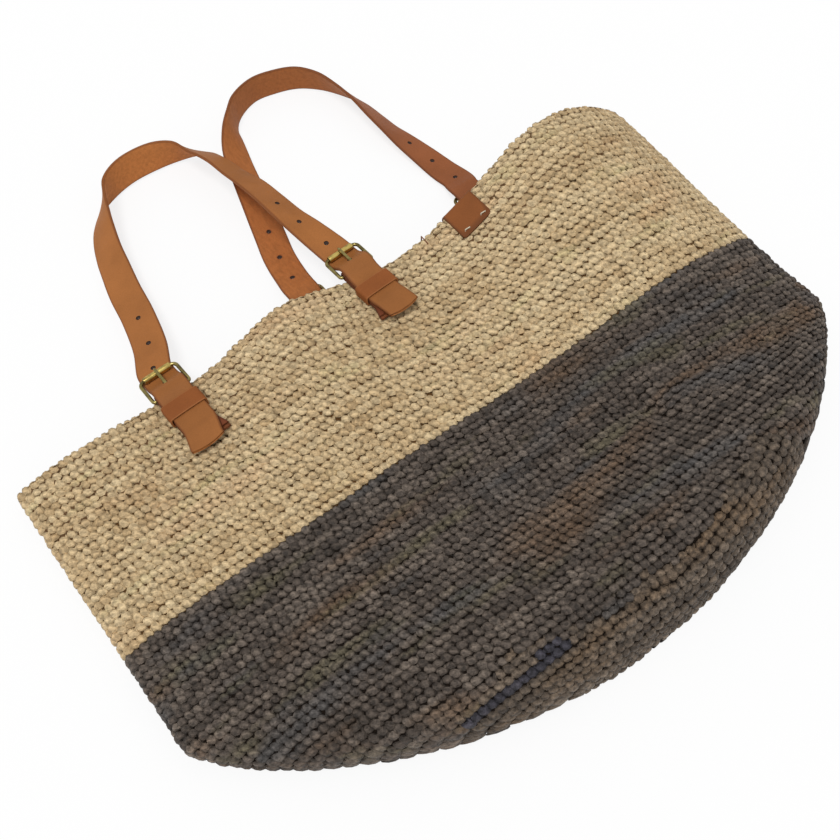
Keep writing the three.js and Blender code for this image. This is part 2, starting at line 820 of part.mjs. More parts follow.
function labelGeometry() {
  const columns = 6;
  const rings = [];
  for (let i = 0; i <= columns; i += 1) {
    rings.push(labelColumn(labelX + labelWidth * (i / columns - 0.5)));
  }
  const count = rings[0].length;
  const half = count / 2;
  const points = rings.flat();
  const faces = [];
  for (let ring = 0; ring < columns; ring += 1) {
    for (let i = 0; i < count; i += 1) {
      const j = (i + 1) % count;
      const [a, b] = [ring * count + i, ring * count + j];
      faces.push([a, b, b + count], [a, b + count, a + count]);
    }
  }
  for (const [ring, turned] of [[0, true], [columns, false]]) {
    for (let i = 0; i < half - 1; i += 1) {
      const [a, b] = [ring * count + i, ring * count + i + 1];
      const [c, d] = [ring * count + count - 2 - i, ring * count + count - 1 - i];
      faces.push(...(turned ? [[a, c, b], [a, d, c]] : [[a, b, c], [a, c, d]]));
    }
  }
  return facetGeometry(points, faces);
}

// Upright frames at the label's stitches and at the rim thread
function uprightFrame(x, depth) {
  const place = panelPoint(x, depth, 1, 0);
  return { side: 1, frame: new THREE.Matrix4().makeTranslation(place.x, place.y, place.z) };
}

const labelStitches = [-1, 1].map((hand) => uprightFrame(
  labelX + hand * (labelWidth / 2 - labelStitchInset),
  labelStitchDepth,
));

function labelStitchCorners(station) {
  const over = labelClearance + labelThickness + clearance;
  const top = over + threadDiameter / 2 + threadSlack;
  return stitchCorners(station, 0, labelStitchSpacing, 0, top, over + threadSlack);
}

function rimThreadCorners() {
  const lift = 2 * clearance + threadDiameter / 2;
  const [outer, inner] = [panelPoint(rimThreadX, rimThreadDepth, 1, 0), panelPoint(rimThreadX, 0, 1, 0)];
  const low = panelPoint(rimThreadX, rimThreadDepth, 1, wallThickness);
  const out = rowY(rimThreadX, 0) + lift;
  const top = Math.max(outer.z, inner.z) + lift;
  const bottom = Math.min(low.z, panelPoint(rimThreadX, 0, 1, wallThickness).z) - lift;
  return [
    new THREE.Vector3(rimThreadX, outer.y, top),
    new THREE.Vector3(rimThreadX, out, top),
    new THREE.Vector3(rimThreadX, out, bottom),
    new THREE.Vector3(rimThreadX, outer.y, bottom),
  ];
}

// Assembly
const group = new THREE.Group();

const wallHoles = [];
for (const station of Object.values(stations)) {
  wallHoles.push(...stitchHoles(station, 0, stitchSpacing, -stitchDepth));
}
for (const station of labelStitches) {
  wallHoles.push(...stitchHoles(station, 0, labelStitchSpacing, 0));
}
const rimHole = uprightFrame(rimThreadX, rimThreadDepth);
wallHoles.push(bar(
  inStation(rimHole, 0, 0, -3 * wallThickness),
  inStation(rimHole, 0, 0, 2 * wallThickness),
  threadHoleDiameter / 2,
  8,
));

group.add(named('natural_raffia_band', cut(wallSolid(0, bandDepth, 8), wallHoles), naturalRaffia()));
group.add(named('grey_raffia_wall', wallSolid(bandDepth + rowGap, baseDepth, 8), greyRaffia()));
group.add(named('grey_raffia_base', toeSolid(baseDepth + rowGap), baseRaffia()));

for (const [place, station] of Object.entries(stations)) {
  const hardware = new THREE.Group();
  station.frame.decompose(hardware.position, hardware.quaternion, hardware.scale);
  hardware.scale.set(1, 1, 1);
  hardware.add(named(place + '_chape', chapeGeometry(), leather()));
  hardware.add(named(place + '_buckle_frame', frameGeometry(), brass()));
  hardware.add(named(place + '_roller', rollerGeometry(), brass()));
  hardware.add(named(place + '_prong', prongGeometry(), brass()));
  hardware.add(named(place + '_keeper', keeperGeometry(station.keeper), leather()));
  hardware.add(named(place + '_strap_tail', tailGeometry(), leather()));
  group.add(hardware);
  const corners = stitchCorners(station, 0, stitchSpacing, -stitchDepth, threadTop, clearance);
  group.add(named(place + '_chape_stitch', threadRing(corners), thread()));
}

group.add(named('front_handle_strap', handleGeometry('front', frontRun), leather()));
group.add(named('back_handle_strap', handleGeometry('back', backRun), leather()));

const labelHoles = labelStitches.flatMap((station) => stitchHoles(station, 0, labelStitchSpacing, 0));
group.add(named('rim_label', cut(labelGeometry(), labelHoles), leather()));
labelStitches.forEach((station, i) => {
  const hand = ['left', 'right'][i];
  group.add(named('label_' + hand + '_stitch', threadRing(labelStitchCorners(station)), thread()));
});
group.add(named('rim_thread', threadRing(rimThreadCorners()), brownThread()));

// The origin is the middle of the underside of the whole object's bounding box.
const box = new THREE.Box3().setFromObject(group, true);
const middle = box.getCenter(new THREE.Vector3());
group.position.set(-middle.x, -middle.y, -box.min.z);

export default group;
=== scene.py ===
# %% [markdown]
# # A crochet raffia bag with buckled leather handles
# The bag lies on its back. Its body is raffia worked in single crochet, round after round, so it is made
# here as real rows of real stitches over a dark sheet of painted shade. The handles, keepers and label are
# cut leather, and the buckles are bent brass wire. The imported frame gives every place and size.

# %% Load the frame
import math
import random

import bmesh
import bpy
import numpy as np
from mathutils import Matrix, Vector
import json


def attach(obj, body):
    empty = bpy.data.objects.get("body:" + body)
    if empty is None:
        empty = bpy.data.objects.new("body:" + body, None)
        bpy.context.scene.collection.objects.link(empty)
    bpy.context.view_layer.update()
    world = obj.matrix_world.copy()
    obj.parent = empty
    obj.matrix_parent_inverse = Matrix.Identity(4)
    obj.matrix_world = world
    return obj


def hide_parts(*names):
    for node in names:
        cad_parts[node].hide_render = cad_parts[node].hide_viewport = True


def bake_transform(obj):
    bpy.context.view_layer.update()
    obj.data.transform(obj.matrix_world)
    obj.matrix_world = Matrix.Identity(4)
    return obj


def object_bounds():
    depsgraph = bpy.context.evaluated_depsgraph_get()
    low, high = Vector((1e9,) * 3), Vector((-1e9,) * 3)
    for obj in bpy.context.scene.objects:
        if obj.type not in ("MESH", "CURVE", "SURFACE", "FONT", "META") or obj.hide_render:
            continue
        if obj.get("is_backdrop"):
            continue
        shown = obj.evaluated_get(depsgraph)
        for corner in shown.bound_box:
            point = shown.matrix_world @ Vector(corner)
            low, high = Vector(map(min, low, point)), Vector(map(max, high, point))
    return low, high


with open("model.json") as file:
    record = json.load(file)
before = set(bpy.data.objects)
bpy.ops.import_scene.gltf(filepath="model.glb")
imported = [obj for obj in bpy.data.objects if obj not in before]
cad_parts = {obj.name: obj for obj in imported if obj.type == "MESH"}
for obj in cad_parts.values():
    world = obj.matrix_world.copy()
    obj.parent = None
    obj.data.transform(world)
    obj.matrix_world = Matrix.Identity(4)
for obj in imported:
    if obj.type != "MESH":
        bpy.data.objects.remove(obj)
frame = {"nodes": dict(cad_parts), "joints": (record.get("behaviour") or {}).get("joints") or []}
cad_low, cad_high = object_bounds()
cad_box = [[float(c) for c in cad_low], [float(c) for c in cad_high]]
MM = 0.001
MOUTH_LINE_Y = 42.3226  # where the middle of the mouth lies along Y in the frame, mm
print("frame box, mm:", [[round(c / MM, 1) for c in corner] for corner in cad_box])

# %% [markdown]
# ## Camera, light and floor
# The camera stands over the bag's lower left corner and looks down at it at 60 degrees. The light is soft:
# an even pale sky, and one broad lamp from the upper left that lets each stitch cast a small shadow.

# %% Camera
scene = bpy.context.scene
camera_data = bpy.data.cameras.new("camera")
camera_data.sensor_width = 36
camera_data.lens = 40.71
camera = bpy.data.objects.new("camera", camera_data)
scene.collection.objects.link(camera)
camera_right = Vector((0.8023, -0.5969, 0.0)).normalized()
camera_back = Vector((-0.2985, -0.4012, 0.8660)).normalized()
camera_up = camera_back.cross(camera_right).normalized()
turn = Matrix((camera_right, camera_up, camera_back)).transposed().to_4x4()
camera_place = Vector((-231.0, -386.9 + MOUTH_LINE_Y, 600.0)) * MM
camera.matrix_world = Matrix.Translation(camera_place) @ turn
scene.camera = camera
scene.view_settings.view_transform = "Standard"
print("camera at", [round(c, 3) for c in camera.matrix_world.translation])

# %% [markdown]
# ## Pieces and nodes
# Every piece starts as a bmesh and becomes a mesh at the origin. Light, floor and materials are all made of
# nodes, so a small bench keeps the nodes of one of them and adds a node in one line, whether a socket takes
# a plain value or what another node gives.


# %% Pieces
def make_piece(bm, name, material):
    """Turns a bmesh into a smooth object that sits at the origin."""
    mesh = bpy.data.meshes.new(name)
    bm.to_mesh(mesh)
    bm.free()
    mesh.polygons.foreach_set("use_smooth", [True] * len(mesh.polygons))
    mesh.materials.append(material)
    piece = bpy.data.objects.new(name, mesh)
    scene.collection.objects.link(piece)
    return piece


# %% Bench for nodes
class Bench:
    """The nodes of one material or world, and short ways to add and join them."""

    def __init__(self, owner, kind):
        owner.use_nodes = True
        self.owner, self.nodes, self.links = owner, owner.node_tree.nodes, owner.node_tree.links
        self.nodes.clear()
        self.output = self.add("Output" + kind)

    def feed(self, node, sockets):
        """Sets a node's sockets to plain values, or links them to what other nodes give."""
        for key, value in sockets.items():
            if isinstance(value, bpy.types.NodeSocket):
                self.links.new(value, node.inputs[key])
            else:
                node.inputs[key].default_value = value

    def add(self, kind, sockets=None, **settings):
        """A new node with its settings and sockets."""
        node = self.nodes.new("ShaderNode" + kind)
        for key, value in settings.items():
            setattr(node, key, value)
        self.feed(node, sockets or {})
        return node

    def compute(self, operation, a, b):
        """A calculation with two values."""
        return self.add("Math", {0: a, 1: b}, operation=operation).outputs[0]

    def show(self, shader):
        """Sends a shader to the output."""
        self.feed(self.output, {"Surface": shader.outputs[0]})

    def show_white(self, lit, white, rays, whiteness):
        """Shows a lit shader, and over it a share of white to the rays that are named."""
        path = self.add("LightPath")
        seen = path.outputs[rays[0]]
        for ray in rays[1:]:
            seen = self.compute("MAXIMUM", seen, path.outputs[ray])
        share = self.compute("MULTIPLY", seen, whiteness)
        self.show(self.add("MixShader", {0: share, 1: lit.outputs[0], 2: white.outputs[0]}))


# %% Light and floor
def white_world(strength):
    """An even sky for light, and a plain pale one where the camera or a reflection sees it."""
    scene.world = bpy.data.worlds.new("sky")
    bench = Bench(scene.world, "World")
    sky = bench.add("Background", {"Color": (1.0, 1.0, 1.0, 1), "Strength": strength})
    white = bench.add("Background", {"Strength": 1.0})
    bench.show_white(sky, white, ("Is Camera Ray", "Is Glossy Ray", "Is Transmission Ray"), 1.0)


def white_floor(size, whiteness):
    """A pale floor that keeps a light shadow. The camera sees it near white."""
    bm = bmesh.new()
    bmesh.ops.create_grid(bm, x_segments=1, y_segments=1, size=size)
    bench = Bench(bpy.data.materials.new("white_floor"), "Material")
    matt = bench.add("BsdfDiffuse", {"Color": (0.9, 0.9, 0.9, 1)})
    glow = bench.add("Emission", {"Strength": 1.0})
    bench.show_white(matt, glow, ("Is Camera Ray", "Is Glossy Ray"), whiteness)
    make_piece(bm, "floor", bench.owner)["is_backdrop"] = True


def broad_lamp(name, direction, strength, angle):
    """A sun lamp that shines along a direction, with soft shadows."""
    data = bpy.data.lights.new(name, "SUN")
    data.energy, data.angle = strength, angle
    lamp = bpy.data.objects.new(name, data)
    lamp.rotation_euler = Vector(direction).to_track_quat("-Z", "Y").to_euler()
    scene.collection.objects.link(lamp)


SKY_STRENGTH = 0.55
white_world(SKY_STRENGTH)
white_floor(size=4.0, whiteness=0.8)
broad_lamp("key_lamp", direction=(0.3, 0.15, -1.0), strength=1.8, angle=0.35)
print("light: sky", SKY_STRENGTH, "and one broad lamp")

# %% [markdown]
# ## The form of the bag
# Every row of crochet is a flattened oval round the bag. The same few sizes as the frame's give its height
# and width at each depth below the mouth, and three soft waves lift the rim. All lengths are millimetres
# here, and a point is placed in the frame only when a mesh is made.

# %% Sizes of the bag
MOUTH_WIDTH = 573.0
BELLY_WIDTH = 555.0
BAG_DEPTH = 333.0
CORNER_DEPTH = 214.0
CORNER_POWER = 1.25
FOLD_SHARE = 0.3
FOLD_HEIGHT = 15.0
WALL = 3.6
BAND_DEPTH = 145.0
HEIGHT_AT = (
    [0.0, 0.24, 0.51, 0.72, 0.88, 0.955, 0.985, 1.0],
    [27.0, 33.5, 40.0, 52.0, 64.0, 48.0, 30.08, 5.0],
)
END_POWER, FRONT_POWER, BACK_POWER, BACK_REACH, END_INSET = 0.8, 0.85, 0.45, 0.7, 1.3
BACK_LIFT = {"height": 12.5, "start": 50.0, "end": 170.0, "fade_from": 0.62, "fade_over": 0.33}
WAVES = [
    {"at": -60.0, "reach": 53.0, "height": 23.0, "outward": 0.68, "upward": 0.3, "fade": 90.0},
    {"at": 213.0, "reach": 110.0, "height": 58.5, "outward": 0.45, "upward": 0.8, "fade": 115.0},
    {"at": -245.0, "reach": 60.0, "height": 4.5, "outward": 0.45, "upward": 0.8, "fade": 90.0},
]
DENT_AT = (92.0, 222.0)
BASE_EDGE = BAG_DEPTH - 0.2
print("bag:", MOUTH_WIDTH, "mm wide at the mouth and", BAG_DEPTH, "mm deep")


# %% Surface of the bag
def smooth(value):
    """A soft step from 0 to 1."""
    t = np.clip(value, 0.0, 1.0)
    return t * t * (3 - 2 * t)


def half_width(depth):
    """Half the width of the bag at a depth: nearly straight sides, then a rounded base."""
    side = (MOUTH_WIDTH + (BELLY_WIDTH - MOUTH_WIDTH) * np.minimum(depth / CORNER_DEPTH, 1)) / 2
    rounding = np.clip((depth - CORNER_DEPTH) / (BAG_DEPTH - CORNER_DEPTH), 0, 1)
    return side * np.sqrt(1 - rounding**CORNER_POWER)


def wave_sum(x, depth, share):
    """How far the waves of the rim push a place outward or upward."""
    total = 0.0
    for wave in WAVES:
        across = np.exp(-(((x - wave["at"]) / wave["reach"]) ** 2))
        down = np.exp(-((depth / wave["fade"]) ** 2))
        total = total + wave[share] * wave["height"] * across * down
    return total


def back_lift(x, depth):
    """How far the middle of the back, near the mouth, is lifted off the floor by the back buckles."""
    along = 1 - smooth((depth - BACK_LIFT["start"]) / (BACK_LIFT["end"] - BACK_LIFT["start"]))
    share = np.abs(x) / (MOUTH_WIDTH / 2)
    across = 1 - smooth((share - BACK_LIFT["fade_from"]) / BACK_LIFT["fade_over"])
    return BACK_LIFT["height"] * along * across


def dent(x, depth):
    """A soft crease in the lower right of the front, where the wall has folded a little."""
    right, down = x - DENT_AT[0], depth - DENT_AT[1]
    along, across = right * 0.45 + down * 0.9, right * 0.9 - down * 0.45
    valley = np.exp(-((across / 9.0) ** 2)) * np.exp(-((along / 26.0) ** 2))
    swell = np.exp(-(((across - 24.0) / 18.0) ** 2)) * np.exp(-((along / 40.0) ** 2))
    return -6.5 * valley + 3.0 * swell


def bag_point(angle, depth, inset):
    """A point of the bag, by its angle round the row and its depth below the mouth, set in by inset."""
    c, s = np.cos(angle), np.sin(angle)
    x = np.sign(c) * np.abs(c) ** END_POWER * np.maximum(half_width(depth) - END_INSET * inset, 0.0)
    height = np.interp(np.clip(depth / BAG_DEPTH, 0, 1), *HEIGHT_AT)
    fold = np.minimum(FOLD_SHARE * height, FOLD_HEIGHT)
    up = np.maximum(s, 0)
    top = fold + (height - inset - fold) * up**FRONT_POWER + wave_sum(x, depth, "upward") * np.sqrt(up)
    top = top + dent(x, depth) * up**0.5
    under = back_lift(x, depth) + inset
    low = fold + (under - fold) * np.minimum(1, np.maximum(-s, 0) / BACK_REACH) ** BACK_POWER
    y = -depth + wave_sum(x, depth, "outward")
    return np.stack([x, y, np.where(s >= 0, top, low)], axis=-1)


def panel_point(x, depth, inset):
    """A point of the front over a place along the mouth."""
    share = np.minimum(1.0, np.abs(x) / np.maximum(half_width(depth) - END_INSET * inset, 1.0))
    return bag_point(np.arccos(np.sign(x) * share ** (1 / END_POWER)), depth, inset)


def in_frame(points):
    """Millimetres from the middle of the mouth, as metres in the frame."""
    return (np.asarray(points) + np.array([0.0, MOUTH_LINE_Y, 0.0])) * MM


def distances(line):
    """How far along a line each of its points lies."""
    return np.concatenate([[0.0], np.cumsum(np.linalg.norm(np.diff(line, axis=0), axis=1))])


print("mouth half width", half_width(0.0), "mm; base half width", round(float(half_width(287.0)), 1), "mm")

# %% [markdown]
# ## Materials
# Raffia is a matt leaf fibre with fine streaks along each strand, and dyed raffia takes its dye unevenly.
# So every stitch carries its own tone as an attribute, a wide noise over the bag shifts the dye, streaks
# follow the leaf of each stitch through its UV map, and a fine noise creases it and paints shade into its
# creases. The low parts of each stitch are painted towards a dark tone, as painted shade between the
# stitches. Leather gets a fine grain, soft mottling and dark burnished edges. Brass is dull and warm, with
# darker patches where it has aged.


# %% Helpers for materials
def linear(color, share=1.0):
    """An sRGB colour in 0 to 255 as linear light, brighter or darker by a share."""
    out = []
    for c in color:
        c = c / 255
        out.append(c / 12.92 if c <= 0.04045 else ((c + 0.055) / 1.055) ** 2.4)
    return (*(min(1.0, c * share) for c in out), 1.0)


class Finish(Bench):
    """A material with one shader, and the patterns that feed it."""

    def __init__(self, name):
        super().__init__(bpy.data.materials.new(name), "Material")
        self.shader = self.add("BsdfPrincipled")
        self.show(self.shader)
        self.place = self.add("TexCoord").outputs["Object"]

    def read(self, name):
        """A value that the mesh carries as an attribute."""
        return self.add("Attribute", attribute_name=name).outputs["Fac"]

    def noise(self, scale, detail, stretch=(1, 1, 1), vector=None):
        """A noise over the object, or over another vector, that may be stretched."""
        vector = self.place if vector is None else vector
        mapped = self.add("Mapping", {"Scale": stretch, "Vector": vector}).outputs[0]
        return self.add("TexNoise", {"Scale": scale, "Detail": detail, "Vector": mapped}).outputs["Fac"]

    def ramp(self, value, *stops):
        """A colour ramp: stops are places and colours."""
        node = self.add("ValToRGB", {0: value})
        elements = node.color_ramp.elements
        while len(elements) < len(stops):
            elements.new(0.5)
        for element, (place, color) in zip(elements, stops):
            element.position, element.color = place, color
        return node.outputs[0]

    def mix(self, blend, share, a, b):
        """A share of one colour over another."""
        return self.add("Mix", {"Factor": share, 6: a, 7: b}, data_type="RGBA", blend_type=blend).outputs[2]

    def spread(self, value, low, high, to_low, to_high):
        """A value between two numbers, spread between two others."""
        sockets = {"Value": value, "From Min": low, "From Max": high, "To Min": to_low, "To Max": to_high}
        return self.add("MapRange", sockets).outputs[0]

    def done(self, sockets, height=None, strength=1.0, distance=0.001):
        """Feeds the shader, with a bump where a height is given, and returns the material."""
        self.feed(self.shader, sockets)
        if height is not None:
            bump = self.add("Bump", {"Strength": strength, "Distance": distance, "Height": height})
            self.feed(self.shader, {"Normal": bump.outputs[0]})
        return self.owner


# %% Raffia
def raffia(name, pale, middle, dark, deep, accents, painted_shade_span=(0.2, 1.04), streaks=0.65):
    """Streaked raffia: three tones by stitch, painted shade in a deep tone on its low parts, and accents in
    patches along rows.
    """
    bench = Finish(name)
    color = bench.ramp(bench.read("tone"), (0.0, linear(dark)), (0.45, linear(middle)), (1.0, linear(pale)))
    for i, (accent, scale, low, high, amount) in enumerate(accents):
        patch = bench.compute("ADD", bench.noise(scale, 2.0, (0.35, 1.6, 1.6)), 0.013 * i)
        color = bench.mix("MIX", bench.spread(patch, low, high, 0.0, amount), color, linear(accent))
    leaf = bench.add("UVMap", uv_map="leaf").outputs[0]
    streak = bench.noise(7.0, 4.0, (0.8, 0.2, 1.0), leaf)
    # The crease noise bumps the raffia and also paints light into it: painted shade in its creases, painted
    # light on its ridges.
    crease_and_shade = bench.noise(360.0, 4.0)
    for mark, low, high, darker, paler in ((streak, 0.3, 0.7, 1.0, 0.6), (crease_and_shade, 0.36, 0.62, 0.8, 0.35)):
        shade = bench.spread(mark, low, high, 1.0 - darker * streaks, 1.0 + paler * streaks)
        color = bench.mix("MULTIPLY", 1.0, color, shade)
    # Painted shade: by its lift, the low part of each stitch is mixed towards the deep colour.
    shown = bench.spread(bench.read("lift"), *painted_shade_span, 0.0, 1.0)
    color = bench.mix("MIX", shown, linear(deep), color)
    sockets = {"Base Color": color, "Roughness": 0.62, "Specular IOR Level": 0.25}
    return bench.done(sockets, bench.compute("ADD", crease_and_shade, streak), 1.0, 0.002)


# Each raffia's deep colour is painted shade, laid on the low parts of its stitches.
NATURAL = raffia(
    "natural_raffia", pale=(214, 191, 151), middle=(201, 175, 134), dark=(178, 149, 108), deep=(92, 64, 35),
    accents=[
        ((200, 160, 118), 22.0, 0.55, 0.72, 0.45),
        ((180, 178, 120), 31.0, 0.62, 0.74, 0.35),
        ((228, 208, 168), 14.0, 0.5, 0.75, 0.35),
    ],
    painted_shade_span=(0.04, 0.74), streaks=0.42,
)
GREY = raffia(
    "grey_raffia", pale=(119, 107, 96), middle=(88, 78, 70), dark=(60, 52, 45), deep=(28, 21, 16),
    accents=[
        ((112, 86, 62), 20.0, 0.54, 0.7, 0.6),
        ((78, 80, 82), 26.0, 0.57, 0.7, 0.5),
        ((110, 104, 74), 34.0, 0.6, 0.74, 0.4),
    ],
)
BROWN = raffia(
    "brown_raffia", pale=(122, 107, 92), middle=(94, 82, 70), dark=(70, 60, 51), deep=(30, 22, 16),
    accents=[((128, 102, 74), 22.0, 0.55, 0.7, 0.45), ((78, 75, 80), 18.0, 0.58, 0.72, 0.4)],
)
MIDNIGHT = raffia(
    "midnight_raffia", pale=(72, 69, 77), middle=(56, 54, 61), dark=(44, 41, 46), deep=(20, 16, 18),
    accents=[((66, 58, 56), 40.0, 0.5, 0.7, 0.5)],
)
print("raffia:", NATURAL.name, GREY.name, BROWN.name, MIDNIGHT.name)


# %% Painted shade between the stitches
def shade_sheet_material(name, color):
    """Painted shade for the depth between the stitches: a dark colour with a fine grain."""
    bench = Finish(name)
    grain = bench.noise(900.0, 3.0)
    shades = bench.ramp(grain, (0.3, linear(color, 0.5)), (0.7, linear(color)))
    return bench.done({"Base Color": shades, "Roughness": 0.9, "Specular IOR Level": 0.1}, grain, 0.8, 0.001)


# Dark sheets of painted shade, seen through the gaps where the raffia deeper in the fabric lies in shade.
NATURAL_SHADE_SHEET = shade_sheet_material("natural_raffia_shade", (104, 74, 42))
GREY_SHADE_SHEET = shade_sheet_material("grey_raffia_shade", (34, 26, 20))
print("cores:", NATURAL_SHADE_SHEET.name, GREY_SHADE_SHEET.name)

# %% [markdown]
# ## One stitch
# Seen from outside, a single crochet stitch is a V: the left leg is a fat leaf of raffia that slants down
# to the right, and the right leg a thin one that tucks behind the next stitch. A flat loop behind them
# fills the fabric and leaves only a small dark hole at its corner. Each leg is a small ball drawn out into
# a leaf, fat at its start and dipping at its end, so that the next one laps over it. The stitch is drawn
# at one width and depth and scaled to the place where it is worked. Few faces are enough,
# because thousands of stitches share the shape, and six shapes that differ a little keep the rows from
# looking like a machine's.

# %% Stitch shapes
STITCH_WIDTH, ROW_DEPTH = 6.6, 5.75
TIGHT_PITCH, LOOSE_PITCH, PITCH_REACH = 5.75, 6.9, 260.0
NATURAL_ROW, GREY_ROW = 6.3, 5.5
LEAF = {
    "place": (-0.3, 0.0, 0.1), "size": (4.6, 2.95, 1.7),
    "turn": -27.0, "arch": 0.8, "taper": 0.36, "dip": 0.75,
}
TUCK = {
    "place": (2.5, 0.95, 0.0), "size": (2.6, 1.3, 1.25),
    "turn": 55.0, "arch": 0.5, "taper": 0.1, "dip": 0.0,
}
BACK_LOOP = {
    "place": (0.5, -0.4, -0.85), "size": (4.0, 3.1, 0.75),
    "turn": 6.0, "arch": 0.2, "taper": 0.0, "dip": 0.0,
}


def draw_leaf(bm, sides, rings, leaf, rng, twist):
    """A ball with its poles along X, drawn out, tapered, arched and turned about the outward axis."""
    made = bmesh.ops.create_uvsphere(bm, u_segments=sides, v_segments=rings, radius=1.0, calc_uvs=True)
    verts = made["verts"]
    bmesh.ops.rotate(bm, verts=verts, matrix=Matrix.Rotation(math.radians(90), 3, "Y"), cent=(0, 0, 0))
    bmesh.ops.rotate(bm, verts=verts, matrix=Matrix.Rotation(math.radians(twist), 3, "X"), cent=(0, 0, 0))
    size = [s * rng.uniform(0.94, 1.06) for s in leaf["size"]]
    bmesh.ops.scale(bm, verts=verts, vec=size)
    for v in verts:
        along = v.co.x / size[0]
        v.co.y *= 1 - leaf["taper"] * along
        v.co.z += leaf["arch"] * (0.5 - along**2) - leaf["dip"] * along
    turn = leaf["turn"] + rng.uniform(-5, 5)
    bmesh.ops.rotate(bm, verts=verts, matrix=Matrix.Rotation(math.radians(turn), 3, "Z"), cent=(0, 0, 0))
    bmesh.ops.translate(bm, verts=verts, vec=leaf["place"])


def make_stitch(seed):
    """One stitch in millimetres: X along the row, Y towards the mouth, Z out of the fabric."""
    rng = random.Random(seed)
    bm = bmesh.new()
    bm.loops.layers.uv.new("leaf")
    draw_leaf(bm, 8, 5, LEAF, rng, rng.uniform(0, 40))
    draw_leaf(bm, 5, 4, TUCK, rng, rng.uniform(0, 60))
    draw_leaf(bm, 6, 3, BACK_LOOP, rng, 0.0)
    bmesh.ops.recalc_face_normals(bm, faces=bm.faces)
    mesh = bpy.data.meshes.new("stitch")
    bm.to_mesh(mesh)
    bm.free()
    # lift is each vertex's height out of the fabric. The raffia paints shade by it on the low parts: the loop
    # behind and the flanks of the legs.
    lift = mesh.attributes.new("lift", "FLOAT", "POINT")
    heights = [min(1.0, max(0.0, (v.co.z + 1.3) / 2.5)) for v in mesh.vertices]
    lift.data.foreach_set("value", heights)
    mesh.attributes.new("tone", "FLOAT", "POINT")
    return mesh


STITCHES = [make_stitch(seed) for seed in range(6)]
print("a stitch has", len(STITCHES[0].polygons), "faces")

# %% [markdown]
# ## Rows of stitches
# A row runs round the bag at one depth. Its stitches are set a stitch's width apart along it, each turned
# to the row, to the fabric's outside and to the mouth, and each a little out of true as handwork is. A
# tone that wanders along the row stands for the uneven dye of the strand it was worked with.

# %% Frames along a row
def pitch_at(x):
    """Width of a stitch: the crochet is a little tighter at the left end of the bag than at the right."""
    return TIGHT_PITCH + (LOOSE_PITCH - TIGHT_PITCH) * smooth((x + PITCH_REACH) / (2 * PITCH_REACH))


def row_frames(place_of, gap, start, width=1.0, closed=True):
    """Places, axes and sizes of a row's stitches.

    place_of gives points by share of the row and lift to the mouth, and gap is the next row's lift.
    """
    shares = np.linspace(0, 1, 721)
    line = place_of(shares, 0.0)
    pitches = width * pitch_at((line[1:, 0] + line[:-1, 0]) / 2)
    stitches = np.linalg.norm(np.diff(line, axis=0), axis=1) / pitches
    travelled = np.concatenate([[0.0], np.cumsum(stitches)])
    count = max(3, int(round(travelled[-1])))
    marks = (np.arange(count) + start) / count * travelled[-1]
    at = np.interp(marks % travelled[-1], travelled, shares)
    step = 0.0006
    ahead, behind = at + step, at - step
    if not closed:
        ahead, behind = np.minimum(ahead, 1.0), np.maximum(behind, 0.0)
    along = place_of(behind, 0.0) - place_of(ahead, 0.0)
    along /= np.maximum(np.linalg.norm(along, axis=1, keepdims=True), 1e-9)
    upward = place_of(at, 0.5 * gap) - place_of(at, -0.5 * gap)
    out = np.cross(along, upward)
    spread = np.linalg.norm(out, axis=1, keepdims=True)
    out /= np.maximum(spread, 1e-9)
    places = place_of(at, 0.0)
    wide = width * pitch_at(places[:, 0]) / STITCH_WIDTH
    deep = np.clip(spread[:, 0] / ROW_DEPTH, 0.6, 2.6)
    axes = {"along": along, "upward": np.cross(out, along), "out": out}
    return {"places": places, "at": at, "wide": wide, "deep": deep, **axes}


UNDERSIDE_SINK = 1.0


def lay_flat(frames):
    """Sinks the stitches of the underside, which the bag's weight presses flat."""
    low = frames["out"][:, 2] < -0.5
    frames["places"][low] -= UNDERSIDE_SINK * frames["out"][low]


def wandering(rng, count, reach):
    """Tones that wander along a row, between 0 and 1."""
    knots = [rng.random() for _ in range(max(2, count // reach) + 1)]
    places = np.linspace(0, len(knots) - 1, count)
    return np.interp(places, range(len(knots)), knots)


print("a stitch is", round(float(pitch_at(-270.0)), 2), "to", round(float(pitch_at(270.0)), 2), "mm wide")


# %% Lay stitches into pieces
MOST_STITCHES = 1500


def stand_for(piece, body, slot, *nodes, sharp=None):
    """Rides a piece on its body in the place of the frame's nodes. Edges over a sharp angle stay crisp."""
    if sharp is not None:
        piece.data.set_sharp_from_angle(angle=math.radians(sharp))
    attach(piece, body)
    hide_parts(*nodes)


class Fabric:
    """Collects stitches and turns them into pieces of a bounded size."""

    def __init__(self, name, material, slot, *nodes):
        self.name, self.material, self.slot, self.nodes = name, material, slot, nodes
        self.bm, self.count, self.pieces = bmesh.new(), 0, 0

    def add(self, matrix, stitch, tone):
        tones = np.full(len(stitch.vertices), tone, np.float32)
        stitch.attributes["tone"].data.foreach_set("value", tones)
        stitch.transform(matrix)
        self.bm.from_mesh(stitch)
        stitch.transform(matrix.inverted())
        self.count += 1
        if self.count >= MOST_STITCHES:
            self.close()

    def close(self):
        if self.count == 0:
            return
        self.pieces += 1
        piece = make_piece(self.bm, f"{self.name}_{self.pieces}", self.material)
        stand_for(piece, "bag_body", self.slot, *self.nodes)
        self.bm, self.count = bmesh.new(), 0


